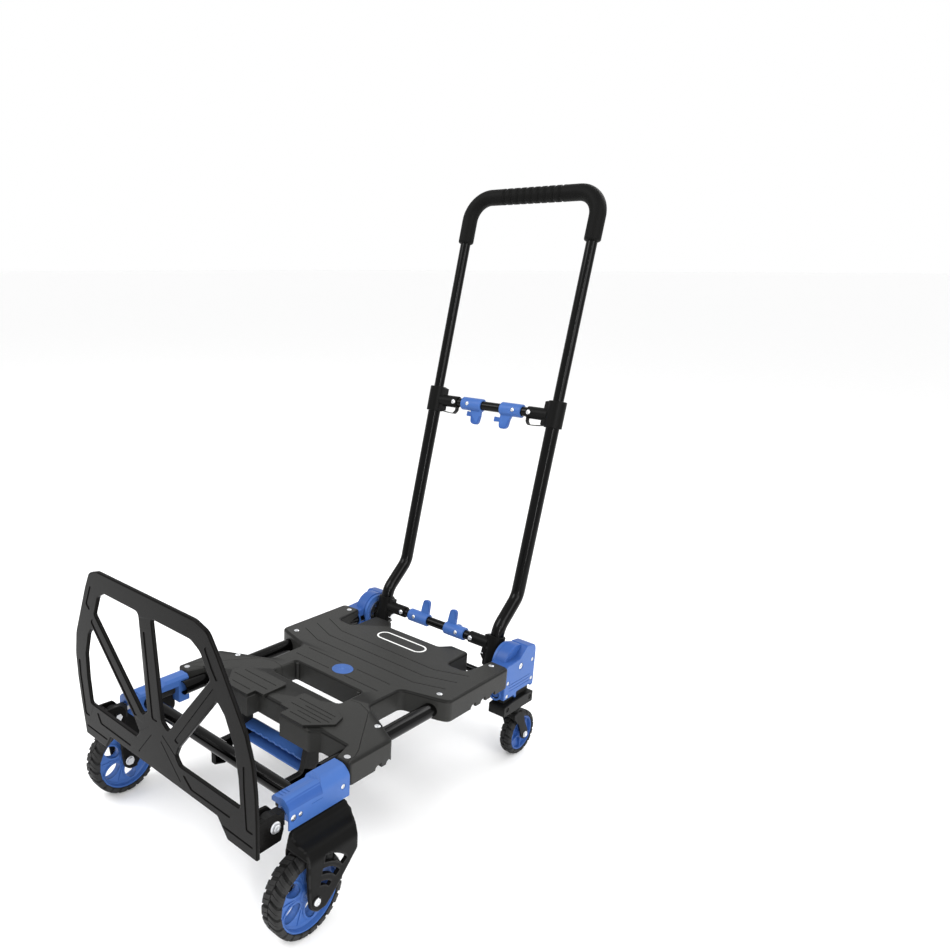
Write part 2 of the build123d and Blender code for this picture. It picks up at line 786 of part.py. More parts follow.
def tyre(x, y, radius, inner, width, blocks):
    """Rubber tyre with a crowned tread cut into blocks."""
    half = width / 2
    with BuildPart() as piece:
        with BuildSketch(Plane(origin=(x, y, radius), x_dir=(0, 0, 1), z_dir=(0, -1, 0))):
            with BuildLine():
                Polyline(
                    (inner, -half + 2), (inner + 2.5, -half), (radius - 7, -half),
                    (radius - 1.2, -half + 6), (radius, -half + 12), (radius, half - 12),
                    (radius - 1.2, half - 6), (radius - 7, half), (inner + 2.5, half),
                    (inner, half - 2), close=True,
                )
            make_face()
        revolve(axis=Axis((x, y, radius), (1, 0, 0)))
        for side in (-1, 1):
            with BuildSketch(across(x + side * half / 2 * 1.3 - half / 2, y, radius)):
                with PolarLocations(radius, blocks):
                    Rectangle(7, 4)
            extrude(amount=half, mode=Mode.SUBTRACT)
    return piece


front_hub_right = wheel_hub(wheel_x, wheel_y, (wheel_r, 63), 34, 5, 5)
front_tyre_right = tyre(wheel_x, wheel_y, wheel_r, 63, wheel_w, 22)
with BuildPart() as front_hub_left:
    mirror(front_hub_right.part, about=Plane.YZ)
with BuildPart() as front_tyre_left:
    mirror(front_tyre_right.part, about=Plane.YZ)

# ---------------------------------------------------------------- casters
with BuildPart() as caster_mount_right:
    with BuildSketch(along(pivot_y - 46)):
        with Locations((-fold_x, fold_z)):
            Circle(13.5)
        with Locations((-202.5, 149)):
            Rectangle(23, 30)
    extrude(amount=90)
    with BuildSketch(Plane.XY.offset(124)):
        with Locations((206, pivot_y - 4)):
            Rectangle(38, 108)
    extrude(amount=26)
    with BuildSketch(along(pivot_y - 60)):
        with Locations((-fold_x, fold_z)):
            Circle(10 + running_fit)
    extrude(amount=120, mode=Mode.SUBTRACT)
    with BuildSketch(Plane.XY.offset(124)):
        with Locations((206, swivel_y)):
            Circle(6 + running_fit)
    extrude(amount=18, mode=Mode.SUBTRACT)
    with BuildSketch(across(220)):
        with Locations((pivot_y - 46, 138), (pivot_y + 38, 138)):
            Circle(4.5)
    extrude(amount=6.5)
    with BuildSketch(across(220)):
        with Locations((pivot_y - 46, 138), (pivot_y + 38, 138)):
            Circle(6)
            Circle(4.5, mode=Mode.SUBTRACT)
    extrude(amount=5, mode=Mode.SUBTRACT)

with BuildPart() as caster_mount_left:
    mirror(caster_mount_right.part, about=Plane.YZ)

with BuildPart() as caster_fork_right:
    with BuildSketch(Plane.XY.offset(112)):
        with Locations((caster_x, swivel_y)):
            Circle(19)
    extrude(amount=11.5)
    with BuildSketch(Plane.XY.offset(112)):
        with Locations((caster_x, swivel_y)):
            Circle(6)
    extrude(amount=28)
    with BuildSketch(across(caster_x - 20)):
        with BuildLine():
            Polyline(
                (pivot_y - 17, 113), (pivot_y + 17, 113), (caster_y + 9, 57), (caster_y + 9, 44),
                (caster_y - 9, 42), (pivot_y - 13, 100), close=True,
            )
        make_face()
    extrude(amount=40)
    with BuildSketch(across(caster_x - 16.5, caster_y, caster_r)):
        Circle(52.5)
    extrude(amount=33, mode=Mode.SUBTRACT)
    with BuildSketch(across(caster_x - 30, caster_y, caster_r)):
        Circle(4)
    extrude(amount=60, mode=Mode.SUBTRACT)

with BuildPart() as caster_fork_left:
    mirror(caster_fork_right.part, about=Plane.YZ)

with BuildPart() as caster_axle_right:
    with BuildSketch(across(caster_x - 20, caster_y, caster_r)):
        Circle(4)
    extrude(amount=40)
    with BuildSketch(across(caster_x - 23.5, caster_y, caster_r)):
        RegularPolygon(7, 6)
    extrude(amount=3.5)
    with BuildSketch(across(caster_x + 20, caster_y, caster_r)):
        Circle(7)
    extrude(amount=3)

with BuildPart() as caster_axle_left:
    mirror(caster_axle_right.part, about=Plane.YZ)

caster_hub_right = wheel_hub(caster_x, caster_y, (caster_r, 39), 25, 4, 0)
caster_tyre_right = tyre(caster_x, caster_y, caster_r, 39, caster_w, 20)
with BuildPart() as caster_hub_left:
    mirror(caster_hub_right.part, about=Plane.YZ)
with BuildPart() as caster_tyre_left:
    mirror(caster_tyre_right.part, about=Plane.YZ)

# ---------------------------------------------------------------- export
pieces = {
    "side_tubes": side_tubes, "front_crossbar": front_crossbar,
    "caster_pivot_tubes": caster_pivot_tubes, "tube_end_caps": tube_end_caps,
    "rear_deck": rear_deck, "front_deck": front_deck, "deck_badge": deck_badge,
    "nameplate_outline": nameplate_outline, "deck_rivets": deck_rivets,
    "front_housing_left": front_housing_left, "front_housing_right": front_housing_right,
    "swing_pins": swing_pins, "toe_hinge_knuckles": toe_hinge_knuckles,
    "rear_housing_left": rear_housing_left, "rear_housing_right": rear_housing_right,
    "housing_screws": housing_screws, "support_frame": support_frame,
    "release_grip": release_grip, "hub_discs": hub_discs, "pivot_bolts": pivot_bolts,
    "outer_tubes": outer_tubes, "handle_end_bar": handle_end_bar,
    "pivot_collars": pivot_collars, "lower_crossbar": lower_crossbar,
    "mid_collars": mid_collars, "mid_crossbar": mid_crossbar, "guard_loops": guard_loops,
    "handle_rivets": handle_rivets,
    "lever_lower_left": lever_lower_left, "lever_lower_right": lever_lower_right,
    "lever_upper_left": lever_upper_left, "lever_upper_right": lever_upper_right,
    "inner_tube": inner_tube, "grip": grip,
    "toe_plate": toe_plate, "toe_hinge_bolts": toe_hinge_bolts,
    "front_fork_left": front_fork_left, "front_fork_right": front_fork_right,
    "front_axle_left": front_axle_left, "front_axle_right": front_axle_right,
    "front_hub_left": front_hub_left, "front_hub_right": front_hub_right,
    "front_tyre_left": front_tyre_left, "front_tyre_right": front_tyre_right,
    "caster_mount_left": caster_mount_left, "caster_mount_right": caster_mount_right,
    "caster_fork_left": caster_fork_left, "caster_fork_right": caster_fork_right,
    "caster_axle_left": caster_axle_left, "caster_axle_right": caster_axle_right,
    "caster_hub_left": caster_hub_left, "caster_hub_right": caster_hub_right,
    "caster_tyre_left": caster_tyre_left, "caster_tyre_right": caster_tyre_right,
}
for name, piece in pieces.items():
    piece.part.label = name
    export_step(piece.part, f"parts/{name}.step")
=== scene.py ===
import bpy
import bmesh
import json
from math import cos, sin, pi, radians, atan2
from mathutils import Vector, Matrix


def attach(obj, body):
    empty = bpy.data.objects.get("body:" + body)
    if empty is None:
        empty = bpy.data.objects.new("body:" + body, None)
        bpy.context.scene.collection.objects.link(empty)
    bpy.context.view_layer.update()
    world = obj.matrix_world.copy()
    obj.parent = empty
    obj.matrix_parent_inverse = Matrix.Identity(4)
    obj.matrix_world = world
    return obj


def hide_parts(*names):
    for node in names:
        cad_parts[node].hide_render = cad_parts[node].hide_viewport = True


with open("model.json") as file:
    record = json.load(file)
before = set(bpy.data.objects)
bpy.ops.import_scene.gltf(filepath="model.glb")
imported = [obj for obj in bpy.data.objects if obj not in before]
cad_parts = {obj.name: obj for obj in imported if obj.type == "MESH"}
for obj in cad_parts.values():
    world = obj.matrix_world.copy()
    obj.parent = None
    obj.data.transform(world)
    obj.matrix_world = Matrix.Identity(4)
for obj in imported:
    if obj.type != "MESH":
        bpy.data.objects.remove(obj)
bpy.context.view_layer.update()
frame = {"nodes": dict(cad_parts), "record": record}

nodes = frame["nodes"]
PY = 0.2465                                   # handle pivot, along Y, in metres
SIDES = (("left", -1), ("right", 1))


# ------------------------------ materials
def material(name, base, rough, metal=0.0, coat=0.0, coat_rough=0.1, grain=900.0, bump=0.06,
             vary=0.08, edge_highlight=None, edge_highlight_amount=0.0, spec=0.5, blotch=14.0, rough_vary=0.08):
    """Procedural surface: colour drift, fine grain bump, roughness drift, and a painted highlight that
    mixes convex edges toward a lighter colour.
    """
    m = bpy.data.materials.new(name)
    m.use_nodes = True
    nt = m.node_tree
    N, L = nt.nodes, nt.links
    bsdf = N["Principled BSDF"]
    bsdf.inputs["Metallic"].default_value = metal
    bsdf.inputs["Coat Weight"].default_value = coat
    bsdf.inputs["Coat Roughness"].default_value = coat_rough
    bsdf.inputs["Specular IOR Level"].default_value = spec
    co = N.new("ShaderNodeTexCoord")
    big = N.new("ShaderNodeTexNoise")
    big.inputs["Scale"].default_value = blotch
    big.inputs["Detail"].default_value = 5
    L.new(co.outputs["Object"], big.inputs["Vector"])
    ramp = N.new("ShaderNodeValToRGB")
    lo = [max(0, c * (1 - vary)) for c in base]
    hi = [min(1, c * (1 + vary)) for c in base]
    ramp.color_ramp.elements[0].position = 0.3
    ramp.color_ramp.elements[0].color = (*lo, 1)
    ramp.color_ramp.elements[1].position = 0.7
    ramp.color_ramp.elements[1].color = (*hi, 1)
    L.new(big.outputs["Fac"], ramp.inputs["Fac"])
    colour = ramp.outputs["Color"]
    fine = N.new("ShaderNodeTexNoise")
    fine.inputs["Scale"].default_value = grain
    fine.inputs["Detail"].default_value = 3
    L.new(co.outputs["Object"], fine.inputs["Vector"])
    # painted highlight: convex edges (high pointiness) are mixed toward a lighter colour in place of
    # glossy edge reflections
    if edge_highlight:
        geo = N.new("ShaderNodeNewGeometry")
        edge = N.new("ShaderNodeValToRGB")
        edge.color_ramp.elements[0].position = 0.52
        edge.color_ramp.elements[0].color = (0, 0, 0, 1)
        edge.color_ramp.elements[1].position = 0.62
        edge.color_ramp.elements[1].color = (1, 1, 1, 1)
        L.new(geo.outputs["Pointiness"], edge.inputs["Fac"])
        amount = N.new("ShaderNodeMath")
        amount.operation = "MULTIPLY"
        amount.inputs[1].default_value = edge_highlight_amount
        L.new(edge.outputs["Color"], amount.inputs[0])
        mix = N.new("ShaderNodeMix")
        mix.data_type = "RGBA"
        L.new(amount.outputs[0], mix.inputs["Factor"])
        L.new(colour, mix.inputs["A"])
        mix.inputs["B"].default_value = (*edge_highlight, 1)
        colour = mix.outputs["Result"]
    L.new(colour, bsdf.inputs["Base Color"])
    rr = N.new("ShaderNodeMapRange")
    rr.inputs["To Min"].default_value = max(0.02, rough - rough_vary)
    rr.inputs["To Max"].default_value = min(1.0, rough + rough_vary)
    L.new(big.outputs["Fac"], rr.inputs["Value"])
    L.new(rr.outputs["Result"], bsdf.inputs["Roughness"])
    b = N.new("ShaderNodeBump")
    b.inputs["Strength"].default_value = bump
    b.inputs["Distance"].default_value = 0.0004
    L.new(fine.outputs["Fac"], b.inputs["Height"])
    L.new(b.outputs["Normal"], bsdf.inputs["Normal"])
    return m


# The lighter edge colours given to the blue, deck, toe and black plastics and to the tyres are painted
# highlights along convex edges.
MAT = {
    "blue_plastic": material("blue_plastic", (0.025, 0.076, 0.265), 0.36, grain=1400, bump=0.10,
                             spec=0.16, edge_highlight=(0.07, 0.16, 0.42), edge_highlight_amount=0.4),
    "deck_plastic": material("deck_plastic", (0.0060, 0.0060, 0.0055), 0.42, grain=1800, bump=0.35,
                             spec=0.12, edge_highlight=(0.04, 0.04, 0.038), edge_highlight_amount=0.5, rough_vary=0.05),
    "toe_plastic": material("toe_plastic", (0.0022, 0.0019, 0.0017), 0.22, grain=1500, bump=0.05,
                            spec=0.05, edge_highlight=(0.010, 0.010, 0.010), edge_highlight_amount=0.5, rough_vary=0.03),
    "black_plastic": material("black_plastic", (0.0036, 0.0036, 0.0035), 0.40, grain=1500, bump=0.15,
                              spec=0.06, edge_highlight=(0.025, 0.025, 0.025), edge_highlight_amount=0.5),
    "black_tube": material("black_tube", (0.0010, 0.0010, 0.0010), 0.15, grain=2200, bump=0.03,
                           rough_vary=0.03, spec=0.12),
    "zinc_steel": material("zinc_steel", (0.66, 0.67, 0.69), 0.28, metal=1.0, grain=900, bump=0.1),
    "grip_foam": material("grip_foam", (0.0028, 0.0028, 0.0026), 0.55, grain=2600, bump=0.5,
                          spec=0.08),
    "tyre_rubber": material("tyre_rubber", (0.0080, 0.0080, 0.0080), 0.60, grain=1200, bump=0.4,
                            spec=0.2, edge_highlight=(0.03, 0.03, 0.03), edge_highlight_amount=0.5),
    "white_outline": material("white_outline", (0.80, 0.80, 0.79), 0.45, grain=1200, bump=0.1),
}
SLOT_OF = {p["node"]: p["material_slot"] for p in frame["record"]["subparts"]}
for name, obj in nodes.items():
    for i in range(len(obj.material_slots)):
        obj.material_slots[i].material = MAT[SLOT_OF[name]]


# ------------------------------ driving places
# The object is drawn in millimetres, with y counted from the handle pivot; the stage is in metres.
MM = 0.001
DECK_Z = 239                                  # load face of the deck
PIVOT_Z = 221                                 # handle pivot
TOE_Y, TOE_Z = -703, 200                      # toe plate hinge
WHEEL_X, WHEEL_Y, WHEEL_R = 260, -666, 75     # front wheel centre and radius
CASTER_X, CASTER_Y, CASTER_R = 206, 32, 50    # caster wheel centre and radius
deps = bpy.context.evaluated_depsgraph_get


def plane(origin, u, v):
    """Matrix from local millimetres (u, v, w) to the scene, w = u x v."""
    u, v = Vector(u).normalized(), Vector(v).normalized()
    w = u.cross(v)
    o = Vector((origin[0] * MM, PY + origin[1] * MM, origin[2] * MM))
    m = Matrix((u * MM, v * MM, w * MM)).transposed().to_4x4()
    m.translation = o
    return m


X, Y, Z = Vector((1, 0, 0)), Vector((0, 1, 0)), Vector((0, 0, 1))
ACROSS = plane((0, 0, 0), Y, Z)               # u = y, v = z, w = x
TOP = plane((0, 0, 0), X, Y)                  # u = x, v = y, w = z
FRONT = plane((0, 0, 0), X, Z)                # u = x, v = z, w = -y
lean = radians(12.5)                          # handle, back from upright
UP = Vector((0, sin(lean), cos(lean)))
HANDLE = plane((0, 0, PIVOT_Z), X, UP)        # w points forward
toe_t = radians(2.7)                          # toe plate, forward from upright
TOE = plane((0, TOE_Y, TOE_Z), X, (0, -sin(toe_t), cos(toe_t)))


def move(m, u=0, v=0, w=0):
    return m @ Matrix.Translation((u, v, w))


def fillet(pts, n=5):
    """Rounded outline from corners (u, v, radius)."""
    out = []
    k = len(pts)
    for i in range(k):
        p = Vector(pts[i][:2])
        r = pts[i][2] if len(pts[i]) > 2 else 0
        a, b = Vector(pts[i - 1][:2]) - p, Vector(pts[(i + 1) % k][:2]) - p
        if r <= 0 or a.length < 1e-6 or b.length < 1e-6:
            out.append(tuple(p))
            continue
        half = a.angle(b) / 2
        run = r / max(1e-4, abs(sin(half) / cos(half))) if abs(cos(half)) > 1e-4 else 0
        d = min(run, a.length * 0.49, b.length * 0.49)
        if d < 1e-3:
            out.append(tuple(p))
            continue
        s, e = p + a.normalized() * d, p + b.normalized() * d
        for j in range(n + 1):
            t = j / n
            q = s * (1 - t) ** 2 + p * 2 * t * (1 - t) + e * t * t
            out.append(tuple(q))
    return out


def both(half):
    """Closed outline symmetrical about u = 0 from its right half."""
    left = [(-p[0],) + tuple(p[1:]) for p in reversed(half) if abs(p[0]) > 1e-6]
    return list(half) + left


def sided(pts, s):
    """Outline drawn for the right side (s = 1), mirrored for the left (s = -1)."""
    return [(s * p[0],) + tuple(p[1:]) for p in pts]


def oval(cx, cy, a, b, n=32, rot=0.0):
    """Ellipse with half axes a and b, turned by rot."""
    out = []
    for i in range(n):
        t = 2 * pi * i / n
        x, y = a * cos(t), b * sin(t)
        out.append((cx + x * cos(rot) - y * sin(rot), cy + x * sin(rot) + y * cos(rot)))
    return out


def hexagon(r, cx=0, cy=0):
    """Outline of a hexagon head."""
    return oval(cx, cy, r, r, 6)


def slot_line(p, q, w, n=4):
    """Thin rounded bar between two points."""
    p, q = Vector(p), Vector(q)
    d = (q - p).normalized()
    a0 = atan2(d.y, d.x)
    out = []
    for c, base in ((q, a0 - pi / 2), (p, a0 + pi / 2)):
        for i in range(n + 1):
            t = base + pi * i / n
            out.append((c.x + w / 2 * cos(t), c.y + w / 2 * sin(t)))
    return out


def sector(cx, cy, r0, r1, a0, a1, n=12):
    """Piece of a ring between two angles in degrees, corners rounded."""
    a0, a1 = radians(a0), radians(a1)
    out = [(cx + r1 * cos(a0 + (a1 - a0) * i / n), cy + r1 * sin(a0 + (a1 - a0) * i / n))
           for i in range(n + 1)]
    out += [(cx + r0 * cos(a1 + (a0 - a1) * i / n), cy + r0 * sin(a1 + (a0 - a1) * i / n))
            for i in range(n + 1)]
    k = len(out)
    edge = {0, n, n + 1, 2 * n + 1}
    return fillet([(p[0], p[1], (r1 - r0) * 0.3 if i in edge else 0) for i, p in enumerate(out)], 3)


def area(pts):
    """Twice the signed area of a closed outline, positive when it runs anticlockwise."""
    return sum(pts[i - 1][0] * pts[i][1] - pts[i][0] * pts[i - 1][1] for i in range(len(pts)))


def clear(p, pts):
    """Distance from a point to a closed outline."""
    best = 1e9
    for i in range(len(pts)):
        a, b = Vector(pts[i - 1]), Vector(pts[i])
        e = b - a
        t = max(0.0, min(1.0, (p - a).dot(e) / max(1e-9, e.dot(e))))
        best = min(best, (p - a - e * t).length)
    return best


def offset_ring(pts, d):
    """Outline moved inward by d, one point for each point given, with no crossed corners."""
    if abs(d) < 1e-6:
        return [tuple(p[:2]) for p in pts]
    s = 1 if area(pts) > 0 else -1
    out, good = [], []
    k = len(pts)
    for i in range(k):
        p, a, b = Vector(pts[i]), Vector(pts[i - 1]), Vector(pts[(i + 1) % k])
        e0, e1 = (p - a).normalized(), (b - p).normalized()
        n0, n1 = Vector((-e0.y, e0.x)) * s, Vector((-e1.y, e1.x)) * s
        q = n0 + n1
        q = q / max(0.25, q.dot(n0)) if q.length > 1e-6 else n0
        out.append(p + q * d)
        good.append(clear(out[-1], pts) > abs(d) * 0.97)
    if not any(good):
        return [tuple(p) for p in out]
    done = list(out)
    for i in range(k):
        if good[i]:
            continue
        lo = next(j for j in range(1, k) if good[i - j])
        hi = next(j for j in range(1, k) if good[(i + j) % k])
        a, b = out[i - lo], out[(i + hi) % k]
        ta = Vector(pts[(i - lo + 1) % k]) - Vector(pts[i - lo])
        tb = Vector(pts[(i + hi) % k]) - Vector(pts[(i + hi - 1) % k])
        den = ta.x * tb.y - ta.y * tb.x
        mid = (a + b) / 2
        if abs(den) > 1e-6 * ta.length * tb.length:
            t = ((b - a).x * tb.y - (b - a).y * tb.x) / den
            x = a + ta * t
            if (x - mid).length < 3 * abs(d):
                mid = x
        done[i] = mid
    return [tuple(p) for p in done]


def inset(pts, d):
    """Outline moved inward by d, without repeated points."""
    out = []
    for p in offset_ring(pts, d):
        if not out or (Vector(p) - Vector(out[-1])).length > 0.02:
            out.append(p)
    if (Vector(out[0]) - Vector(out[-1])).length < 0.02:
        out.pop()
    return out


def round_top(w0, w1, r, way=1, n=5):
    """Levels of a stack whose upper edge is rounded (way -1 flares it outwards)."""
    out = [(w0, 0.0), (w1 - r, 0.0)]
    for i in range(1, n + 1):
        t = pi / 2 * i / n
        out.append((w1 - r + r * sin(t), way * r * (1 - cos(t))))
    return out


class Part:
    """A mesh under construction; each method adds to it or changes it and gives it back."""

    def __init__(self):
        self.bm = bmesh.new()

    def prism(self, pts, m, w0, w1):
        """Closed prism between two heights."""
        bm = self.bm
        if area(pts) < 0:
            pts = pts[::-1]
        if w1 < w0:
            w0, w1 = w1, w0
        a = [bm.verts.new(m @ Vector((p[0], p[1], w0))) for p in pts]
        b = [bm.verts.new(m @ Vector((p[0], p[1], w1))) for p in pts]
        bm.faces.new(a[::-1])
        bm.faces.new(b)
        for i in range(len(a)):
            bm.faces.new((a[i - 1], a[i], b[i], b[i - 1]))
        return self

    def stack(self, pts, m, levels):
        """Solid through copies of an outline, each level (height, inset)."""
        if area(pts) < 0:
            pts = pts[::-1]
        one = bmesh.new()
        rows = [[one.verts.new(m @ Vector((p[0], p[1], w))) for p in offset_ring(pts, d)]
                for w, d in levels]
        for lo, hi in zip(rows[:-1], rows[1:]):
            for i in range(len(pts)):
                one.faces.new((lo[i - 1], lo[i], hi[i], hi[i - 1]))
        one.faces.new(rows[0][::-1])
        one.faces.new(rows[-1])
        bmesh.ops.remove_doubles(one, verts=one.verts, dist=0.00002)
        self.take(one)
        one.free()
        return self

    def box(self, m, u0, u1, v0, v1, w0, w1, r=0.0, n=4):
        """Block with its upright edges rounded by r."""
        c = [(u0, v0, r), (u1, v0, r), (u1, v1, r), (u0, v1, r)]
        return self.prism(fillet(c, n) if r else [p[:2] for p in c], m, w0, w1)

    def ring(self, outer, inner, m, w0, w1):
        """Band between two outlines with the same number of points."""
        bm = self.bm
        rows = [[bm.verts.new(m @ Vector((p[0], p[1], w))) for p in o]
                for o, w in ((outer, w0), (outer, w1), (inner, w1), (inner, w0))]
        for k in range(4):
            a, b = rows[k], rows[(k + 1) % 4]
            for i in range(len(a)):
                bm.faces.new((a[i - 1], a[i], b[i], b[i - 1]))
        return self

    def disc(self, m, r, w0, w1, n=48, cu=0, cv=0):
        """Cylinder about local w."""
        return self.prism(oval(cu, cv, r, r, n), m, w0, w1)

    def lathe(self, profile, m, n=64, phase=0.0):
        """Closed profile of (radius, w) turned about local w."""
        bm = self.bm
        rows = []
        for i in range(n):
            t = 2 * pi * i / n + phase
            rows.append([bm.verts.new(m @ Vector((r * cos(t), r * sin(t), w))) for r, w in profile])
        for i in range(n):
            a, b = rows[i - 1], rows[i]
            for j in range(len(profile)):
                bm.faces.new((a[j - 1], b[j - 1], b[j], a[j]))
        return self

    def sweep(self, path, radii, n=20):
        """Round bar along scene points (metres), with a radius in millimetres for each."""
        bm = self.bm
        k = len(path)
        t0 = (path[1] - path[0]).normalized()
        side = t0.cross(Z if abs(t0.z) < 0.9 else X).normalized()
        rows = []
        for i in range(k):
            t = (path[min(i + 1, k - 1)] - path[max(i - 1, 0)]).normalized()
            side = (side - t * side.dot(t)).normalized()
            other = t.cross(side)
            turns = [2 * pi * j / n for j in range(n)]
            rows.append([bm.verts.new(path[i] + (side * cos(a) + other * sin(a)) * radii[i] * MM)
                         for a in turns])
        for i in range(1, k):
            for j in range(n):
                bm.faces.new((rows[i - 1][j - 1], rows[i - 1][j], rows[i][j], rows[i][j - 1]))
        bm.faces.new(rows[0][::-1])
        bm.faces.new(rows[-1])
        return self

    def take(self, other_bm):
        """Copy another mesh into this one."""
        m = bpy.data.meshes.new("t")
        other_bm.to_mesh(m)
        self.bm.from_mesh(m)
        bpy.data.meshes.remove(m)
        return self

    def add(self, other):
        """Join another part, without merging the solids."""
        return self.take(other.bm)

    def flip(self):
        """Copy mirrored left to right."""
        p = Part().add(self)
        for v in p.bm.verts:
            v.co.x = -v.co.x
        bmesh.ops.reverse_faces(p.bm, faces=p.bm.faces)
        return p

    def temp(self):
        """Object with a copy of the mesh, for modifiers."""
        bmesh.ops.recalc_face_normals(self.bm, faces=self.bm.faces)
        m = bpy.data.meshes.new("t")
        self.bm.to_mesh(m)
        o = bpy.data.objects.new("t", m)
        bpy.context.collection.objects.link(o)
        return o

    def apply(self, mods, extra=()):
        """Run modifiers given as (type, {settings}) and keep the result."""
        o = self.temp()
        for kind, settings in mods:
            d = o.modifiers.new("m", kind)
            for key, val in settings.items():
                setattr(d, key, val)
        bpy.context.view_layer.update()
        m = bpy.data.meshes.new_from_object(o.evaluated_get(deps()))
        self.bm.clear()
        self.bm.from_mesh(m)
        for x in [o] + list(extra):
            d = x.data
            bpy.data.objects.remove(x)
            bpy.data.meshes.remove(d)
        bpy.data.meshes.remove(m)
        return self

    def split(self):
        """Triangulate every face."""
        bmesh.ops.triangulate(self.bm, faces=self.bm.faces, ngon_method="EAR_CLIP")
        return self

    def carve(self, *cutters, op="DIFFERENCE"):
        """Boolean with one or more other parts."""
        self.split()
        for c in cutters:
            c.split()
        tools = [c.temp() for c in cutters]
        mods = [("BOOLEAN", {"object": t, "operation": op, "solver": "MANIFOLD"}) for t in tools]
        return self.apply(mods, tools)

    def melt(self, voxel, passes):
        """Round the whole solid off like a moulding."""
        return self.apply([("REMESH", {"mode": "VOXEL", "voxel_size": voxel * MM}),
                           ("SMOOTH", {"factor": 0.5, "iterations": passes})])

    def soften(self, width, seg=3, angle=35):
        """Bevel every edge sharper than the angle."""
        return self.apply([("BEVEL", {"width": width * MM, "segments": seg, "limit_method": "ANGLE",
                                      "angle_limit": radians(angle), "use_clamp_overlap": True})])


def piece(name, part, slot_name, body, cad=(), bevel=0.6, seg=2, angle=32):
    """Finish a part as a named piece on a body."""
    big = [f for f in part.bm.faces if len(f.verts) > 4]
    bmesh.ops.triangulate(part.bm, faces=big, ngon_method="EAR_CLIP")
    o = part.temp()
    o.name = name
    o.data.name = name
    for kind in ("BEVEL", "WEIGHTED_NORMAL"):
        if kind == "BEVEL" and not bevel:
            continue
        d = o.modifiers.new("m", kind)
        if kind == "BEVEL":
            d.width = bevel * MM
            d.segments = seg
            d.limit_method = "ANGLE"
            d.angle_limit = radians(angle)
        else:
            d.keep_sharp = True
            d.weight = 60
            for p in o.data.polygons:
                p.use_smooth = True
            o.data.set_sharp_from_angle(angle=radians(46))
        bpy.context.view_layer.update()
        m = bpy.data.meshes.new_from_object(o.evaluated_get(deps()))
        o.modifiers.clear()
        old = o.data
        o.data = m
        bpy.data.meshes.remove(old)
    o.data.name = name
    o.data.materials.clear()
    o.data.materials.append(MAT[slot_name])
    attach(o, body)
    if cad:
        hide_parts(*cad)
    return o


def pair(name, part, slot_name, body, cad, bevel, seg=2):
    """A right-hand part and its mirror image as two pieces; {} stands for the side."""
    for side, s in SIDES:
        piece(name.format(side), part if s > 0 else part.flip(), slot_name, body.format(side),
              [cad.format(side)], bevel, seg)


def bend(points, radius, m, n=8):
    """Polyline with rounded corners, in local (u, v, w) millimetres, returned in scene metres."""
    out = [Vector(points[0])]
    for i in range(1, len(points) - 1):
        p, a, b = Vector(points[i]), Vector(points[i - 1]), Vector(points[i + 1])
        da, db = a - p, b - p
        half = da.angle(db) / 2
        run = radius / max(1e-3, sin(half) / max(1e-6, cos(half)))
        d = min(run, da.length * 0.49, db.length * 0.49)
        s, e = p + da.normalized() * d, p + db.normalized() * d
        axis = (da.normalized() + db.normalized()).normalized()
        c = p + axis * (d / cos(half))
        for j in range(n + 1):
            q = s.lerp(e, j / n)
            out.append(c + (q - c).normalized() * (s - c).length)
    out.append(Vector(points[-1]))
    return [m @ p for p in out]


# ------------------------------ deck, both mouldings
hole_half = [(0, -412), (91, -412, 12), (91, -347, 8), (0, -347)]
outer_half = [
    (0, -492), (45, -492, 1), (45, -519, 1), (121, -519, 10), (137, -503, 4), (196, -503, 4),
    (206, -537, 3), (238, -537, 4), (238, -432, 14), (190, -405, 16), (150, -385, 12),
    (134, -374, 12), (134, -286, 16), (208, -266, 22), (228, -258, 16), (227, -57, 12),
    (183, -55, 4), (174, -131, 14), (130, -134, 14), (129, -56, 10), (84, -54.5, 8),
    (66, -78, 10), (0, -78),
]
outer = fillet(both(outer_half), 6)
hole = fillet(both(hole_half), 6)
shell = Part().stack(outer, TOP, round_top(196, DECK_Z, 5.5))
shell.carve(Part().stack(hole, TOP, round_top(180, DECK_Z, 4.5, -1) + [(260, -4.5)]))
cavity = Part().prism(inset(outer, 5), TOP, 150, 230)
cavity.carve(Part().prism(inset(hole, -5), TOP, 140, 260))
shell.carve(cavity)

# the curved seam, and the two mouldings on either side of it
seam_r = [(88, -388), (118, -383), (148, -394), (166, -420), (205, -478), (219, -498), (229, -519),
          (231, -560)]
seam = []
for a, b in zip(seam_r[:-1], seam_r[1:]):
    for t in (0, 0.25, 0.5, 0.75):
        seam.append((a[0] * (1 - t) + b[0] * t, a[1] * (1 - t) + b[1] * t))
seam.append(seam_r[-1])
front_zone = sided(seam, -1)[::-1] + seam
zone = Part().prism(front_zone, TOP, 180, 260)
hollow_zone = Part().prism(inset(front_zone, -0.9), TOP, 180, 260)
front = Part().add(shell)
front.carve(zone, op="INTERSECT")
shell.carve(hollow_zone)

# ------------------------------ rear deck
lines = []
for y0, y1, h0, h1 in ((-174, -147, 128, 191), (-210, -185, 130, 192), (-246, -222, 131, 192)):
    pts = [(-h1, y1), (-h0, y0), (h0, y0), (h1, y1)]
    lines += list(zip(pts[:-1], pts[1:]))
for a, b in ((-115, -22), (22, 108)):
    lines += [((a, -286), (b, -286)), ((a, -323), (b, -323))]
for p, q in lines:
    shell.carve(Part().prism(slot_line(p, q, 2.0), TOP, 237.9, 241))
shell.carve(Part().disc(TOP, 22, 237.6, 241, cv=-305))


def pill(a, b):
    """Outline of the blank nameplate, half length a and half width b."""
    return slot_line((-(a - b), -121), (a - b, -121), 2 * b, 12)


shell.carve(Part().ring(pill(63.3, 18.3), pill(59.2, 14.2), TOP, 238, 241))
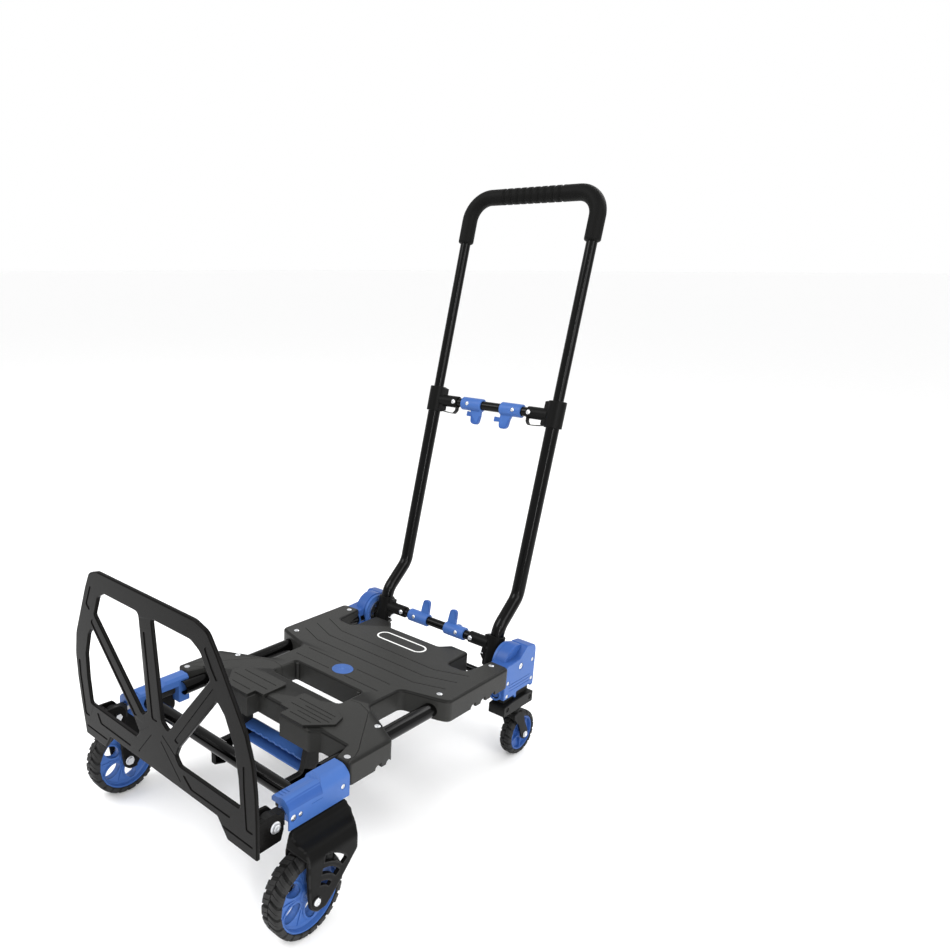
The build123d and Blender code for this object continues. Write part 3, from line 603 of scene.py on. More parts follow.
# scallops along the lower edge of the sides
for s in (-1, 1):
    for y in (-112, -145, -178, -440, -468):
        shell.carve(Part().disc(ACROSS, 7.5, s * 205, s * 240, 24, cu=y, cv=196),
                    Part().box(ACROSS, y + 3, y + 9, 190, 205, s * 205, s * 240, 1.5))
ribs = Part()
for y in (-110, -160, -215, -262, -320):
    ribs.box(TOP, -120, 120, y - 1.5, y + 1.5, 206, 231)
for x, y0, y1, z0 in ((-200, -252, -150, 228), (-118, -335, -100, 206), (-60, -335, -100, 206),
                      (60, -335, -100, 206), (118, -335, -100, 206), (200, -252, -150, 228)):
    ribs.box(TOP, x - 1.5, x + 1.5, y0, y1, z0, 231)
for s in (-1, 1):
    ribs.disc(TOP, 3.2, 200, 236, 20, cu=s * 84, cv=-350)
shell.add(ribs)
piece("rear_deck_shell", shell, "deck_plastic", "frame", ["rear_deck"], 0.35, 2, 40)

# ------------------------------ front deck
pads = Part()
pad_outline = [(23, -440, 2), (28, -434, 3), (104, -434, 4), (134, -446, 4), (143, -474, 3),
               (105, -518.4, 2), (46, -518.4, 1), (46, -497, 1), (23, -497, 2)]
for s in (-1, 1):
    pad = Part().prism(fillet(sided(pad_outline, s), 3), TOP, 236, 243.2)
    pad.soften(1.6, 3, 50)
    marks = [((34, -456), (124, -456)), ((34, -478), (130, -478)), ((56, -502), (108, -502))]
    if s > 0:
        marks += [((60, -467), (126, -467)), ((62, -489), (120, -489))]
    for mark in marks:
        pad.carve(Part().prism(slot_line(*sided(mark, s), 2.0), TOP, 242.1, 245))
    pads.add(pad)
ribs = Part()
for x in (-150, -100, -50, 0, 50, 100, 150):
    ribs.box(TOP, x - 1.5, x + 1.5, -486, -420, 206, 231)
ribs.box(TOP, -150, 150, -452, -449, 206, 231)
front.add(pads).add(ribs)
piece("front_deck_plate", front, "deck_plastic", "frame", ["front_deck"], 0.35, 2, 40)

# ------------------------------ nameplate, badge and rivets
plate = Part().ring(pill(63, 18), pill(59.5, 14.5), TOP, 237.9, 239.15)
piece("nameplate_ring", plate, "white_outline", "frame", ["nameplate_outline"], 0.15, 2)
badge = Part().disc(TOP, 21.4, 236.8, 239.4, 64, cv=-305)
badge.soften(0.5, 2, 50)
for r0, r1 in ((17.2, 18.2), (13.4, 14.4), (9.4, 10.4), (5.2, 6.2)):
    badge.carve(Part().ring(oval(0, -305, r1, r1, 48), oval(0, -305, r0, r0, 48), TOP, 238.2, 241))
piece("deck_badge_rings", badge, "blue_plastic", "frame", ["deck_badge"], 0.15, 2)


def screw(part, m, r=4.6, h=2.0, drive=True):
    """Domed head with a cross recess, standing on w = 0 of the plane."""
    head = Part().lathe([(0.02, 0), (r, 0), (r, h * 0.35), (r * 0.8, h * 0.8), (r * 0.45, h),
                         (0.02, h)], m, 28)
    if drive:
        head.carve(Part().box(m, -r * 0.5, r * 0.5, -0.5, 0.5, h * 0.55, h + 1),
                   Part().box(m, -0.5, 0.5, -r * 0.5, r * 0.5, h * 0.55, h + 1))
    part.add(head)
    return part


rivets = Part()
for x, y, h in ((196, -75, 1.6), (196, -246, 1.6), (192, -419, 1.6), (221, -528, 0.7)):
    for s in (-1, 1):
        rivets.lathe([(0.02, -1), (5.6, -1), (5.6, 0.2 * h), (4.6, 0.7 * h), (2.5, h), (0.02, h)],
                     move(TOP, s * x, y, DECK_Z), 32)
piece("deck_rivet_heads", rivets, "zinc_steel", "frame", ["deck_rivets"], 0)

# ------------------------------ toe plate
toe_half = [(0, 1), (154, 1, 4), (176, -31, 6), (246, -31, 4), (250, 40, 60), (251, 90, 60),
            (248, 140, 60), (236, 186, 60), (209, 238, 60), (183, 288, 60), (163, 321, 22),
            (134, 330.6, 30), (0, 330.6)]
TOE_LOW, TOE_TOP = 41, 47                     # the plate's two faces, forward of the hinge
skin = [(TOE_LOW - 0.8, 0.8), (TOE_LOW, 0)] + round_top(TOE_LOW, TOE_TOP, 2.6, n=4)[1:]
toe = Part().stack(fillet(both(toe_half), 6), TOE, skin)
windows = ([(18, 294, 9), (120, 294, 16), (141, 282, 18), (161, 243, 7), (36, 99, 9), (21, 112, 9)],
           [(174, 214, 7), (190, 196, 10), (208, 150, 20), (213, 100, 20), (213, 47, 6),
            (62, 46, 8), (52, 60, 8), (64, 82, 6)])
flare = round_top(30, TOE_TOP, 2.2, -1, 4) + [(60, -2.2)]
openings = Part()
for s in (-1, 1):
    for o in windows:
        openings.stack(fillet(sided(o, s), 5), TOE, flare)
toe.carve(openings)

# shallow channels between the ribs
channels = (
    [(52, 90, 4), (62, 88, 4), (176, 224, 4), (169, 234, 4)],
    [(66, 34, 3), (196, 36, 4), (186, 15, 4), (88, 14, 4)],
    [(166, -8, 2), (238, -8, 2), (238, -12, 2), (169, -12, 2)],
    [(226, 128, 3), (238, 132, 4), (241, 96, 8), (240, 14, 4), (224, 14, 4), (224, 90, 8)],
    [(176, 246, 3), (186, 256, 4), (163, 298, 5), (152, 292, 5), (166, 262, 5)],
)
middle = [(-8, 264, 4), (8, 264, 4), (8, 104, 4), (-8, 104, 4)]
for o in [sided(c, s) for s in (-1, 1) for c in channels] + [middle]:
    toe.carve(Part().prism(fillet(o, 4), TOE, 45.5, 49))
for s in (-1, 1):
    for p, q in (((s * 60, 17), (s * 14, 70)), ((s * 66, 52), (s * 20, 84))):
        toe.carve(Part().prism(slot_line(p, q, 2.4), TOE, 45.7, 49))

# pimples of the load face, on a staggered grid
dots = Part()
grid = [(u * 9.0 + (4.5 if v % 2 else 0), v * 8.0) for u in range(-28, 28) for v in range(-3, 42)]


def inside(p, o):
    """Whether a point lies inside a closed outline."""
    c = False
    for i in range(len(o)):
        a, b = o[i - 1], o[i]
        if (a[1] > p[1]) != (b[1] > p[1]):
            crossing = (b[0] - a[0]) * (p[1] - a[1]) / (b[1] - a[1]) + a[0]
            if p[0] < crossing:
                c = not c
    return c


edge_in = inset(fillet(both(toe_half), 5), 7)
margins = ([(14, 299), (124, 299), (146, 286), (168, 243), (38, 92), (15, 108)],
           [(170, 222), (196, 200), (213, 152), (219, 100), (219, 41), (56, 41), (45, 60), (58, 86)])
keep_off = [sided(o, s) for s in (-1, 1) for o in margins]
for p in grid:
    by_hinge = abs(p[0]) > 200 and p[1] < 26
    if inside(p, edge_in) and not by_hinge and not any(inside(p, o) for o in keep_off):
        dots.prism(hexagon(1.5, *p), TOE, 40.5, 39.75)
toe.add(dots)

# hinge boxes
cheek_outline = [(-745, 168.5, 3), (-691, 170, 3), (-685, 188, 3), (-685, 208, 10), (-695, 220, 8),
                 (-746, 222, 3)]
for s in (-1, 1):
    for x in (207.5, 234.5):
        cheek = Part().prism(fillet(cheek_outline, 6), ACROSS, s * x - 2.3, s * x + 2.3)
        cheek.soften(0.9, 2, 50)
        toe.add(cheek)
    web = Part().prism([(-745, 168.5), (-722, 169.5), (-721.5, 221), (-746, 222)], ACROSS,
                       s * 221 - 15, s * 221 + 15)
    toe.add(web)
    for x in (216, 226):
        toe.box(ACROSS, -746, -723, 217, 222.6, s * x - 1, s * x + 1)
piece("toe_plate_moulding", toe, "toe_plastic", "toe", ["toe_plate"], 0.3, 2, 40)

# ------------------------------ toe hinge bolts
bolts = Part()
for s in (-1, 1):
    m = plane((s * 236.8, TOE_Y, TOE_Z), Y * s, Z)
    bolts.lathe([(0.02, 0), (10.2, 0), (10.2, 1.2), (8.6, 1.6), (0.02, 1.6)], m, 40)
    h = Part().prism(hexagon(7.6), m, 1.2, 4.9)
    h.soften(0.7, 2, 30)
    h.carve(Part().disc(m, 3.6, 3.9, 6, 24))
    bolts.add(h)
    bolts.disc(m, 5, -31, 0.2, 24)
    bolts.prism(hexagon(7.6), plane((s * 205.2, TOE_Y, TOE_Z), -Y * s, Z), 0, 4.8)
piece("toe_bolts", bolts, "zinc_steel", "toe", ["toe_hinge_bolts"], 0.3)

# ------------------------------ wheels


def tyre_part(cx, cy, r, inner, width, lugs, depth):
    """Tyre with two staggered rows of slanting lugs, each lug cut once across."""
    h = width / 2
    m = plane((cx, cy, r), Y, Z)
    flank = [(inner, h - 2), (inner + 3, h - 0.6), (r - depth * 2.6, h - 0.4), (r - depth, h - 4)]
    t = Part().lathe([(a, -w) for a, w in flank] + flank[::-1], m, 96)
    step = 2 * pi / lugs
    slant = 0.28
    for s in (-1, 1):
        for k in range(lugs):
            a0 = step * (k + (0.5 if s > 0 else 0))
            for f0, f1, drop in ((0.0, 0.3, 0), (0.3, 0.38, 1.6), (0.38, 0.7, 0)):
                prof = [(r - depth - 1, 0.8), (r - 0.1 - drop, 0.8), (r - 0.1 - drop, h * 0.45),
                        (r - 1.2 - drop, h - 4), (r - 4.5 - drop * 0.5, h - 0.9),
                        (r - depth * 2.7, h - 0.05), (r - depth * 3.0, h - 1.6), (r - depth - 2, h - 5)]
                n = 3 if drop == 0 else 1
                rows = []
                for i in range(n + 1):
                    f = f0 + (f1 - f0) * i / n
                    row = []
                    for rr, w in prof:
                        a = a0 + step * (f + slant * w / h)
                        row.append(t.bm.verts.new(m @ Vector((rr * cos(a), rr * sin(a), s * w))))
                    rows.append(row)
                q = len(prof)
                for i in range(n):
                    for j in range(q):
                        t.bm.faces.new((rows[i][j - 1], rows[i + 1][j - 1], rows[i + 1][j], rows[i][j]))
                t.bm.faces.new(rows[0][::-1])
                t.bm.faces.new(rows[-1])
    return t


def hub_part(cx, cy, r, rim, width, n, bore, hole, phase):
    """Dished hub with n spokes, and n oval windows if hole is set."""
    h = width / 2
    m = plane((cx, cy, r), Y, Z)
    wide = rim - bore - 12
    web = h * (0.30 if hole else 0.42)
    dish = h * (0.52 if hole else 0.42)
    top = dish + 2 if hole else h
    half = [(bore, -top), (bore + 6, -top), (bore + 7.5, -top + 1.6), (bore + 8.5, -dish),
            (bore + 11, -dish + 1.2), ((rim + bore) / 2, -web), (rim - 9, -web - 0.6),
            (rim - 5.5, -dish), (rim - 4.6, -h + 3), (rim - 4, -h + 1), (rim - 1.4, -h + 1),
            (rim, -h + 2.5)]
    b = Part().lathe(half + [(p[0], -p[1]) for p in reversed(half)], m, 80)
    mid = (rim - 4 + bore + 8) / 2
    if hole:
        cutters = Part()
        rings = Part()
        for k in range(n):
            a = phase + 2 * pi * k / n
            u, v = mid * cos(a), mid * sin(a)
            o = oval(u, v, wide * 0.41, wide * 0.27, 28, a)
            cutters.prism(o, m, -h, h)
            lip = oval(u, v, wide * 0.49, wide * 0.35, 28, a)
            for s in (-1, 1):
                rings.ring(lip, o, m, s * (web - 1), s * (web + 2.0))
        b.carve(cutters)
        b.add(rings)
    rise = 1.8 if hole else 4.5
    for k in range(n):
        a = phase + 2 * pi * (k + 0.5) / n
        p = (cos(a) * (bore + 7), sin(a) * (bore + 7))
        q = (cos(a) * (rim - 4.8), sin(a) * (rim - 4.8))
        for s in (-1, 1):
            b.prism(slot_line(p, q, 2.2, 2), m, s * (web - 0.5), s * (web + rise))
    return b


for side, s in SIDES:
    body = "front_wheel_" + side
    t = tyre_part(s * WHEEL_X, WHEEL_Y, WHEEL_R, 62.5, 38, 21, 4.5)
    piece("front_tyre_tread_" + side, t, "tyre_rubber", body, ["front_tyre_" + side], 0)
    h = hub_part(s * WHEEL_X, WHEEL_Y, WHEEL_R, 63, 34, 5, 5.2, True, radians(215))
    piece("front_hub_rim_" + side, h, "blue_plastic", body, ["front_hub_" + side], 0.4, 2)
    body = "caster_wheel_" + side
    t = tyre_part(s * CASTER_X, CASTER_Y, CASTER_R, 38.5, 27, 18, 3.5)
    piece("caster_tyre_tread_" + side, t, "tyre_rubber", body, ["caster_tyre_" + side], 0)
    h = hub_part(s * CASTER_X, CASTER_Y, CASTER_R, 39, 25, 5, 4.2, False, radians(90))
    piece("caster_hub_rim_" + side, h, "blue_plastic", body, ["caster_hub_" + side], 0.3, 2)

# ------------------------------ front forks
# The hood is the solid common to a section and a side view, with its rear corner cut off.
side_view = [(-681, 88, 12), (-684, 146, 14), (-675, 179, 8), (-550, 179, 4), (-549, 152, 16),
             (-573, 126, 12), (-596, 102, 14), (-622, 73, 14), (-644, 53.5, 10), (-664, 52.5, 12),
             (-678, 64, 14)]
section = [(236, 179), (243, 179, 3), (246, 172, 8), (262, 166.5, 20), (280, 165, 14),
           (291.2, 152, 12), (291.2, 40), (236, 40)]
corner = [(246, -530), (252, -550, 14), (291.5, -575, 14), (310, -575), (310, -530)]
fork = Part().prism(fillet(section, 6), FRONT, 540, 690)
fork.carve(Part().prism(fillet(side_view, 6), ACROSS, 230, 300), op="INTERSECT")
fork.carve(Part().prism(fillet(corner, 6), TOP, 20, 200))
fork.melt(1.8, 9)
cavity = [(-700, 20), (-540, 20), (-560, 96), (-583, 118, 4), (-584, 134, 10), (-600, 149, 12),
       (-640, 156, 12), (-666, 154, 14), (-700, 150)]
fork.carve(Part().prism(fillet(cavity, 6), ACROSS, 239.2, 284.8))
fork.carve(Part().prism([(-560, 40), (-560, 116), (-600, 116), (-648, 60), (-648, 40)], ACROSS, 230, 240))
# three curved windows over the wheel
for r0, r1, a0, a1 in ((66, 79, 37, 80), (46, 57, 36, 82), (27, 34.5, 36, 84)):
    o = sector(-662, 74, r0, r1, a0, a1, 10)
    fork.carve(Part().prism(o, ACROSS, 280, 295))
    fork.add(Part().ring(inset(o, -1.4), o, ACROSS, 285, 291.5))
fork.ring(oval(WHEEL_Y, WHEEL_R, 9.5, 9.5, 36), oval(WHEEL_Y, WHEEL_R, 7.8, 7.8, 36), ACROSS, 289, 292.6)
neck_outline = [(214.5, 168, 2), (230, 166, 2), (240, 164, 2), (240, 178.5, 1), (234, 182, 3),
                (231, 203, 6), (214.5, 204, 4)]
neck = Part().prism(fillet(neck_outline, 4), FRONT, 570, 612)
neck.soften(2.0, 3, 50)
fork.add(neck)
fork.lathe([(7.1, 568.4), (12, 568.4), (12, 611.6), (7.1, 611.6)], plane((220, 0, 205), X, Z), 36)
pair("front_fork_cover_{}", fork, "black_plastic", "front_swing_{}", "front_fork_{}", 0.5)

# ------------------------------ front axles
axle = Part()
m = plane((291, WHEEL_Y, WHEEL_R), Y, Z)
axle.lathe([(0.02, 0), (7.2, 0), (7.2, 1.0), (6.4, 2.6), (3.4, 3.0), (2.6, 1.6), (0.02, 1.6)], m, 36)
axle.disc(plane((0, WHEEL_Y, WHEEL_R), Y, Z), 5, 234.6, 291.2, 28)
m = plane((234.4, WHEEL_Y, WHEEL_R), -Y, Z)
axle.prism(hexagon(8), m, 0, 4.6)
axle.lathe([(5, -0.1), (9.5, -0.1), (9.5, 1), (5, 1)], m, 32)
pair("front_axle_bolt_{}", axle, "zinc_steel", "front_swing_{}", "front_axle_{}", 0.25)

# ------------------------------ front housings
# A taller rear half and a lower nose, hollow underneath where the cross tube and the fork pass.
rear_half = [(199, 180, 1), (239.8, 180, 1), (239.8, 222, 16), (226, 234.5, 16), (204, 234.5, 3),
             (199, 229, 2)]
nose = [(199, 180, 1), (239.8, 180, 1), (239.8, 221.5, 17), (226, 232.5, 15), (212, 228.5, 8),
        (203, 228.5, 3), (199, 223, 2)]
tunnel = [(190, 170), (236.5, 170), (236.5, 206), (223, 217), (190, 217)]
house = Part().prism(fillet(rear_half, 6), FRONT, 541, 604)
house.carve(Part().prism([(-588, 240), (-604.5, 226), (-604.5, 240)], ACROSS, 190, 250))
house.carve(Part().prism(fillet(nose, 6), FRONT, 600, 676.5), op="UNION")
house.soften(1.8, 3, 50)
for y in (-668, -661, -654):
    house.carve(Part().box(TOP, 202, 216, y - 0.8, y + 0.8, 227.4, 240))
house.carve(Part().box(TOP, 190, 236, -625, -566, 170, 216.5),
            Part().prism(tunnel, FRONT, 662, 690),
            Part().box(TOP, 190, 236, -652, -632, 170, 192))
house.carve(Part().prism(slot_line((-628, 207), (-604, 207), 1.4), ACROSS, 239.2, 242))
for y, z, r in ((-667, 200, 6.2), (-652, 200, 4.6), (-556, 204, 5.0)):
    house.carve(Part().disc(ACROSS, r, 238.2, 245, 28, cu=y, cv=z))
pair("front_housing_cover_{}", house, "blue_plastic", "frame", "front_housing_{}", 0.4)

# ------------------------------ rear housings
rear_outline = [(-56.5, 160, 2), (-18, 160, 3), (-14, 152.5, 2), (12, 152.5, 2), (16, 160, 3),
                (54.5, 160, 6), (54.5, 257, 22), (19, 261, 8), (-6, 238, 18), (-56.5, 235.5, 3)]
rear = Part().prism(fillet(rear_outline, 6), ACROSS, 181, 219.6)
rear.soften(3.0, 4, 60)
rear.add(Part().disc(ACROSS, 42.6, 181, 206, 96, cv=PIVOT_Z).soften(2.0, 3, 50))
rear.add(Part().disc(ACROSS, 39.5, 174.2, 181.5, 80, cv=PIVOT_Z))
rear.carve(Part().box(ACROSS, -10, 46, 148, 166, 188, 225, 4))
for z in (176, 183, 190):
    rear.carve(Part().prism(slot_line((-40, z), (38, z), 1.5), ACROSS, 218.6, 222))
rear.ring(oval(0, PIVOT_Z, 9.8, 9.8, 40), oval(0, PIVOT_Z, 7.6, 7.6, 40), ACROSS, 219, 220)
REAR_SCREWS = ((-44, 196), (44, 222), (46, 178), (-44, 166))
for y, z, r in ((0, PIVOT_Z, 7.4),) + tuple((y, z, 5) for y, z in REAR_SCREWS):
    rear.carve(Part().disc(ACROSS, r, 217.6, 225, 28, cu=y, cv=z))
rear.ring(oval(199, 170, 14, 14, 40), oval(199, 170, 10.6, 10.6, 40), FRONT, 56, 59)
rear.ring(oval(193, 213, 17.5, 17.5, 40), oval(193, 213, 14.2, 14.2, 40), FRONT, 56, 57.5)
pair("rear_housing_cover_{}", rear, "blue_plastic", "frame", "rear_housing_{}", 0.5)

# ------------------------------ screws of all four housings
places = [(0, PIVOT_Z, 218.4, 7)] + [(y, z, 218.2, 4.4) for y, z in REAR_SCREWS]
places += [(-667, 200, 238.4, 5.6), (-652, 200, 238.4, 4.2), (-556, 204, 238.4, 4.6)]
screws = Part()
for s in (-1, 1):
    for y, z, x, r in places:
        screw(screws, plane((s * x, y, z), Y * s, Z), r, 1.5)
piece("housing_screw_heads", screws, "zinc_steel", "frame", ["housing_screws"], 0)

# ------------------------------ casters
mount_outline = [(-58, 124.2, 2), (50, 124.2, 2), (50, 149, 3), (24, 149.8, 2), (-26, 149.8, 2),
                 (-58, 146, 3)]
mount = Part().prism(fillet(mount_outline, 3), ACROSS, 187.2, 224.8)
mount.soften(1.4, 3, 50)
for y in (-46, 38):
    mount.carve(Part().disc(ACROSS, 5.4, 222, 230, 24, cu=y, cv=138))
    screw(mount, plane((222.2, y, 138), Y, Z), 4.6, 1.6)
mount.box(FRONT, 191, 214, 148, 166, -43, 46, 1)
mount.lathe([(10.3, -43.5), (13.4, -43.5), (13.4, 45.8), (10.3, 45.8)], plane((199, 0, 170), X, Z), 36)
swivel = plane((CASTER_X, 0, 0), X, Y)
caster_fork = Part().lathe([(0.02, 112.2), (20, 112.2), (20, 115), (17.6, 116), (17.6, 119), (19.4, 120),
                      (19.4, 123.2), (0.02, 123.2)], swivel, 48)
caster_fork.disc(swivel, 5.8, 112, 139, 24)
leg = [(-17, 113.5, 4), (17, 113.5, 4), (27, 84, 20), (41.5, 58, 6), (41, 44, 8), (32, 39, 8),
       (22, 43, 8), (4, 84, 24), (-14, 102, 8)]
for x0, x1 in ((186.2, 189.4), (222.6, 225.8)):
    caster_fork.prism(fillet(leg, 6), ACROSS, x0, x1)
bridge = [(-17, 103.6, 3), (-6, 103.0), (10, 103.2), (17, 106, 3), (17, 114, 3), (-17, 114, 4)]
caster_fork.prism(fillet(bridge, 4), ACROSS, 187, 225)
caster_axle = Part()
caster_axle.disc(ACROSS, 4, 186, 226, 24, cu=CASTER_Y, cv=CASTER_R)
caster_axle.prism(hexagon(6.6, CASTER_Y, CASTER_R), ACROSS, 182.6, 186.2)
caster_axle.lathe([(0.02, 0), (7, 0), (7, 0.9), (5.6, 1.2), (5.6, 2.7), (3, 3), (2.2, 1.8), (0.02, 1.8)],
          plane((225.8, CASTER_Y, CASTER_R), Y, Z), 32)
pair("caster_mount_box_{}", mount, "black_plastic", "caster_fold_{}", "caster_mount_{}", 0.35)
pair("caster_fork_stamped_{}", caster_fork, "black_plastic", "caster_yoke_{}", "caster_fork_{}", 0.35)
pair("caster_axle_bolt_{}", caster_axle, "zinc_steel", "caster_yoke_{}", "caster_axle_{}", 0.35)

# ------------------------------ handle fittings


LOW_AT, MID_AT = 22, 516                      # the two crossbars, up the handle from the pivot
SET_BACK = 48                                 # upper handle, behind the pivot line
TUBE_X = 152                                  # handle tubes, either side of the middle


def on_bar(up_handle, set_back):
    """Local u = backward, v = up the handle, w = across; centred on a crossbar."""
    fwd = Vector((0, -cos(lean), sin(lean)))
    o = Vector((0, 0, PIVOT_Z)) + UP * up_handle - fwd * set_back
    return plane((0, o.y, o.z), -fwd, UP)


def outward(bar, s):
    """A crossbar's frame with w pointing away from the middle."""
    return bar if s > 0 else bar @ Matrix.Rotation(pi, 4, "X")


low_bar, mid_bar = on_bar(LOW_AT, 0), on_bar(MID_AT, SET_BACK)
back = move(HANDLE, 0, 0, -SET_BACK)
low_web = [(126, -6), (138, -20), (138, 43), (128, 41)]
mid_web = [(126, 494), (138, 491), (138, 545), (128, 543)]
for name, m, bar, s0, s1, r, bore, web, cad in (
        ("pivot_collar_castings", HANDLE, low_bar, -24, 44, 17.8, 14.05, low_web, "pivot_collars"),
        ("mid_collar_castings", back, mid_bar, 490, 546, 18.4, 11.3, mid_web, "mid_collars")):
    c = Part()
    sleeve = [(bore, s0), (r - 0.8, s0), (r, s0 + 1), (r, s1 - 1.2), (r - 1.4, s1), (bore, s1)]
    for s in (-1, 1):
        c.lathe(sleeve, move(m, s * TUBE_X) @ Matrix.Rotation(-pi / 2, 4, "X"), 48)
        c.lathe([(10.1, 89), (12.2, 89), (13, 90), (13, 138), (10.1, 138)], outward(bar, s), 40)
        c.prism(sided(web, s), m, -8, 8)
    if bar is low_bar:
        for s in (-1, 1):
            c.box(m, s * TUBE_X - 15, s * TUBE_X + 15, -23, 12, -12, 14.5, 4)
    piece(name, c, "black_plastic", "handle", [cad], 0.5, 2)

# ------------------------------ crossbar rivets
heads = Part()
for s in (-1, 1):
    for m, at in ((HANDLE, LOW_AT), (back, MID_AT)):
        screw(heads, move(m, s * 96, at, 12.6), 5.0, 2.3)
        heads.disc(move(m, s * 96, at), 3, -13.5, 13, 16)
piece("handle_rivet_heads", heads, "zinc_steel", "handle", ["handle_rivets"], 0)

# ------------------------------ squeeze levers
LEVER_X = 58                                  # a lever's screw, from the middle
lower_tab = [(26, -6, 2), (48, -6, 2), (47, 26, 8), (45, 45, 10), (29, 45, 10), (27, 20, 8)]
upper_tab = [(27, 6, 2), (59, 6, 2), (49, -22, 8), (47, -42, 11), (27, -44, 11), (25, -24, 10)]
# Both upper hooks point the same way, so they are no mirror images.
upper_hooks = {"left": [(-61, -16), (-39, -18), (-39, -27), (-61, -27)],
               "right": [(11, -19), (31, -20), (31, -29), (11, -30)]}
sleeve = [(10.2, 24.5), (13.4, 24.5), (14.4, 25.6), (14.4, 74.6), (13.4, 75.6), (10.2, 75.6)]
for kind, m, bar, at, tab in (("lower", HANDLE, low_bar, LOW_AT, lower_tab),
                              ("upper", back, mid_bar, MID_AT, upper_tab)):
    for side, s in SIDES:
        lever = Part().lathe(sleeve, outward(bar, s), 48)
        tab_part = Part().prism([(s * u, at + v) for u, v in fillet(tab, 6)], m, -4.6, 4.6)
        tab_part.soften(2.4, 4, 50)
        tab_part.carve(Part().disc(bar, 10.2, -90, 90, 40))
        lever.add(tab_part)
        if kind == "upper":
            hook = Part().prism([(u, at + v) for u, v in upper_hooks[side]], m, -3.2, 3.2)
            hook.soften(1.6, 3, 40)
            lever.add(hook)
        else:
            rib = [(46, at - 13.6, 1), (54, at - 13.6, 1), (54, at + 13.6, 1), (46, at + 13.6, 1)]
            lever.prism(fillet(sided(rib, s), 2), m, -14.2, -8)
        lever.carve(Part().disc(move(m, s * LEVER_X, at), 4.6, 13.2, 16, 24))
        name = "lever_" + kind
        body = "squeeze_" + kind + "_" + side
        head = screw(Part(), move(m, s * LEVER_X, at, 13.0), 4.4, 2.0)
        piece(name + "_screw_" + side, head, "zinc_steel", body, (), 0)
        piece(name + "_sleeve_" + side, lever, "blue_plastic", body, [name + "_" + side], 0.4, 2)

# ------------------------------ guard loops
# A flat strap along each bent line, 1.8 mm thick and 12 mm wide.
loops = Part()
forward = (back.to_3x3() @ Vector((0, 0, 1))).normalized()
for s in (-1, 1):
    line = sided([(134, 493, 0), (112, 490.6, 0), (96, 490, 0), (91, 497, 0), (90.5, 508, 0)], s)
    line = bend(line, 6, back, 5)
    for a, b in zip(line[:-1], line[1:]):
        thick = (b - a).normalized().cross(forward) * 0.9 * MM
        wide = forward * 6 * MM
        ends = [loops.bm.verts.new(p) for p in (a - thick - wide, b - thick - wide,
                                                b + thick - wide, a + thick - wide,
                                                a - thick + wide, b - thick + wide,
                                                b + thick + wide, a + thick + wide)]
        for f in ((3, 2, 1, 0), (4, 5, 6, 7), (0, 1, 5, 4), (1, 2, 6, 5), (2, 3, 7, 6), (3, 0, 4, 7)):
            loops.bm.faces.new([ends[j] for j in f])
piece("guard_loop_straps", loops, "black_plastic", "handle", ["guard_loops"], 0.3)

# ------------------------------ foam grip
GRIP_R = 16.6
RIPPLES, RIPPLE_HALF = 9, 74                  # ripples over the straight top, and half its length
path = bend([(-TUBE_X, 866, 0), (-TUBE_X, 964, 0), (TUBE_X, 964, 0), (TUBE_X, 866, 0)], 56, back, 20)
fine = []
for a, b in zip(path[:-1], path[1:]):
    k = max(1, int((b - a).length / (1.6 * MM)))
    fine += [a.lerp(b, i / k) for i in range(k)]
fine.append(path[-1])
radii = []
to_handle = back.inverted()
for p in fine:
    q = to_handle @ p
    r = GRIP_R
    if abs(q.x) < RIPPLE_HALF and q.y > 950:
        f = ((q.x + RIPPLE_HALF) / (2 * RIPPLE_HALF) * RIPPLES) % 1.0
        r = 16.8 - 2.4 * max(0.0, 1 - abs(f - 0.5) / 0.2) ** 0.5
    from_end = min((p - fine[0]).length, (p - fine[-1]).length) / MM
    if from_end < 4:
        r = 12.4 + 4.2 * (from_end / 4) ** 0.5
    radii.append(r)
piece("grip_sleeve", Part().sweep(fine, radii, 36), "grip_foam", "handle_upper", ["grip"], 0)

# ------------------------------ support frame under the deck
BAR_X = 92                                    # side bars, either side of the middle
bar_outline = fillet([(-568, 124, 3), (-568, 92, 4), (-540, 84, 6), (-520, 118, 10), (-468, 124, 4),
                   (-468, 215, 2), (-492, 215, 2), (-510, 138, 10), (-556, 138, 6)], 5)
zigzags = ([(-560, 96), (-545, 134), (-532, 100), (-518, 132)],
           [(-505, 122), (-498, 136), (-470, 128)],
           [(-484, 150), (-470, 140)],
           [(-484, 150), (-470, 175), (-488, 196)])
support = Part()
for x in (-BAR_X, BAR_X):
    bar = Part().prism(bar_outline, ACROSS, x - 5, x + 5)
    bar.soften(0.8, 2, 50)
    bar.carve(Part().prism(inset(bar_outline, 3.2), ACROSS, x + 2.2, x + 9),
              Part().prism(inset(bar_outline, 3.2), ACROSS, x - 9, x - 2.2))
    for line in zigzags:
        for p, q in zip(line[:-1], line[1:]):
            bar.prism(slot_line(p, q, 2.0, 2), ACROSS, x - 4.6, x + 4.6)
    support.add(bar)
support.box(ACROSS, -489, -479, 199, 213, -87, 87, 2)
for x in (-BAR_X, BAR_X):
    support.box(TOP, x - 12, x + 12, -492, -468, 213, 226, 2)
piece("support_frame_ribbed", support, "black_plastic", "frame", ["support_frame"], 0.3, 2)

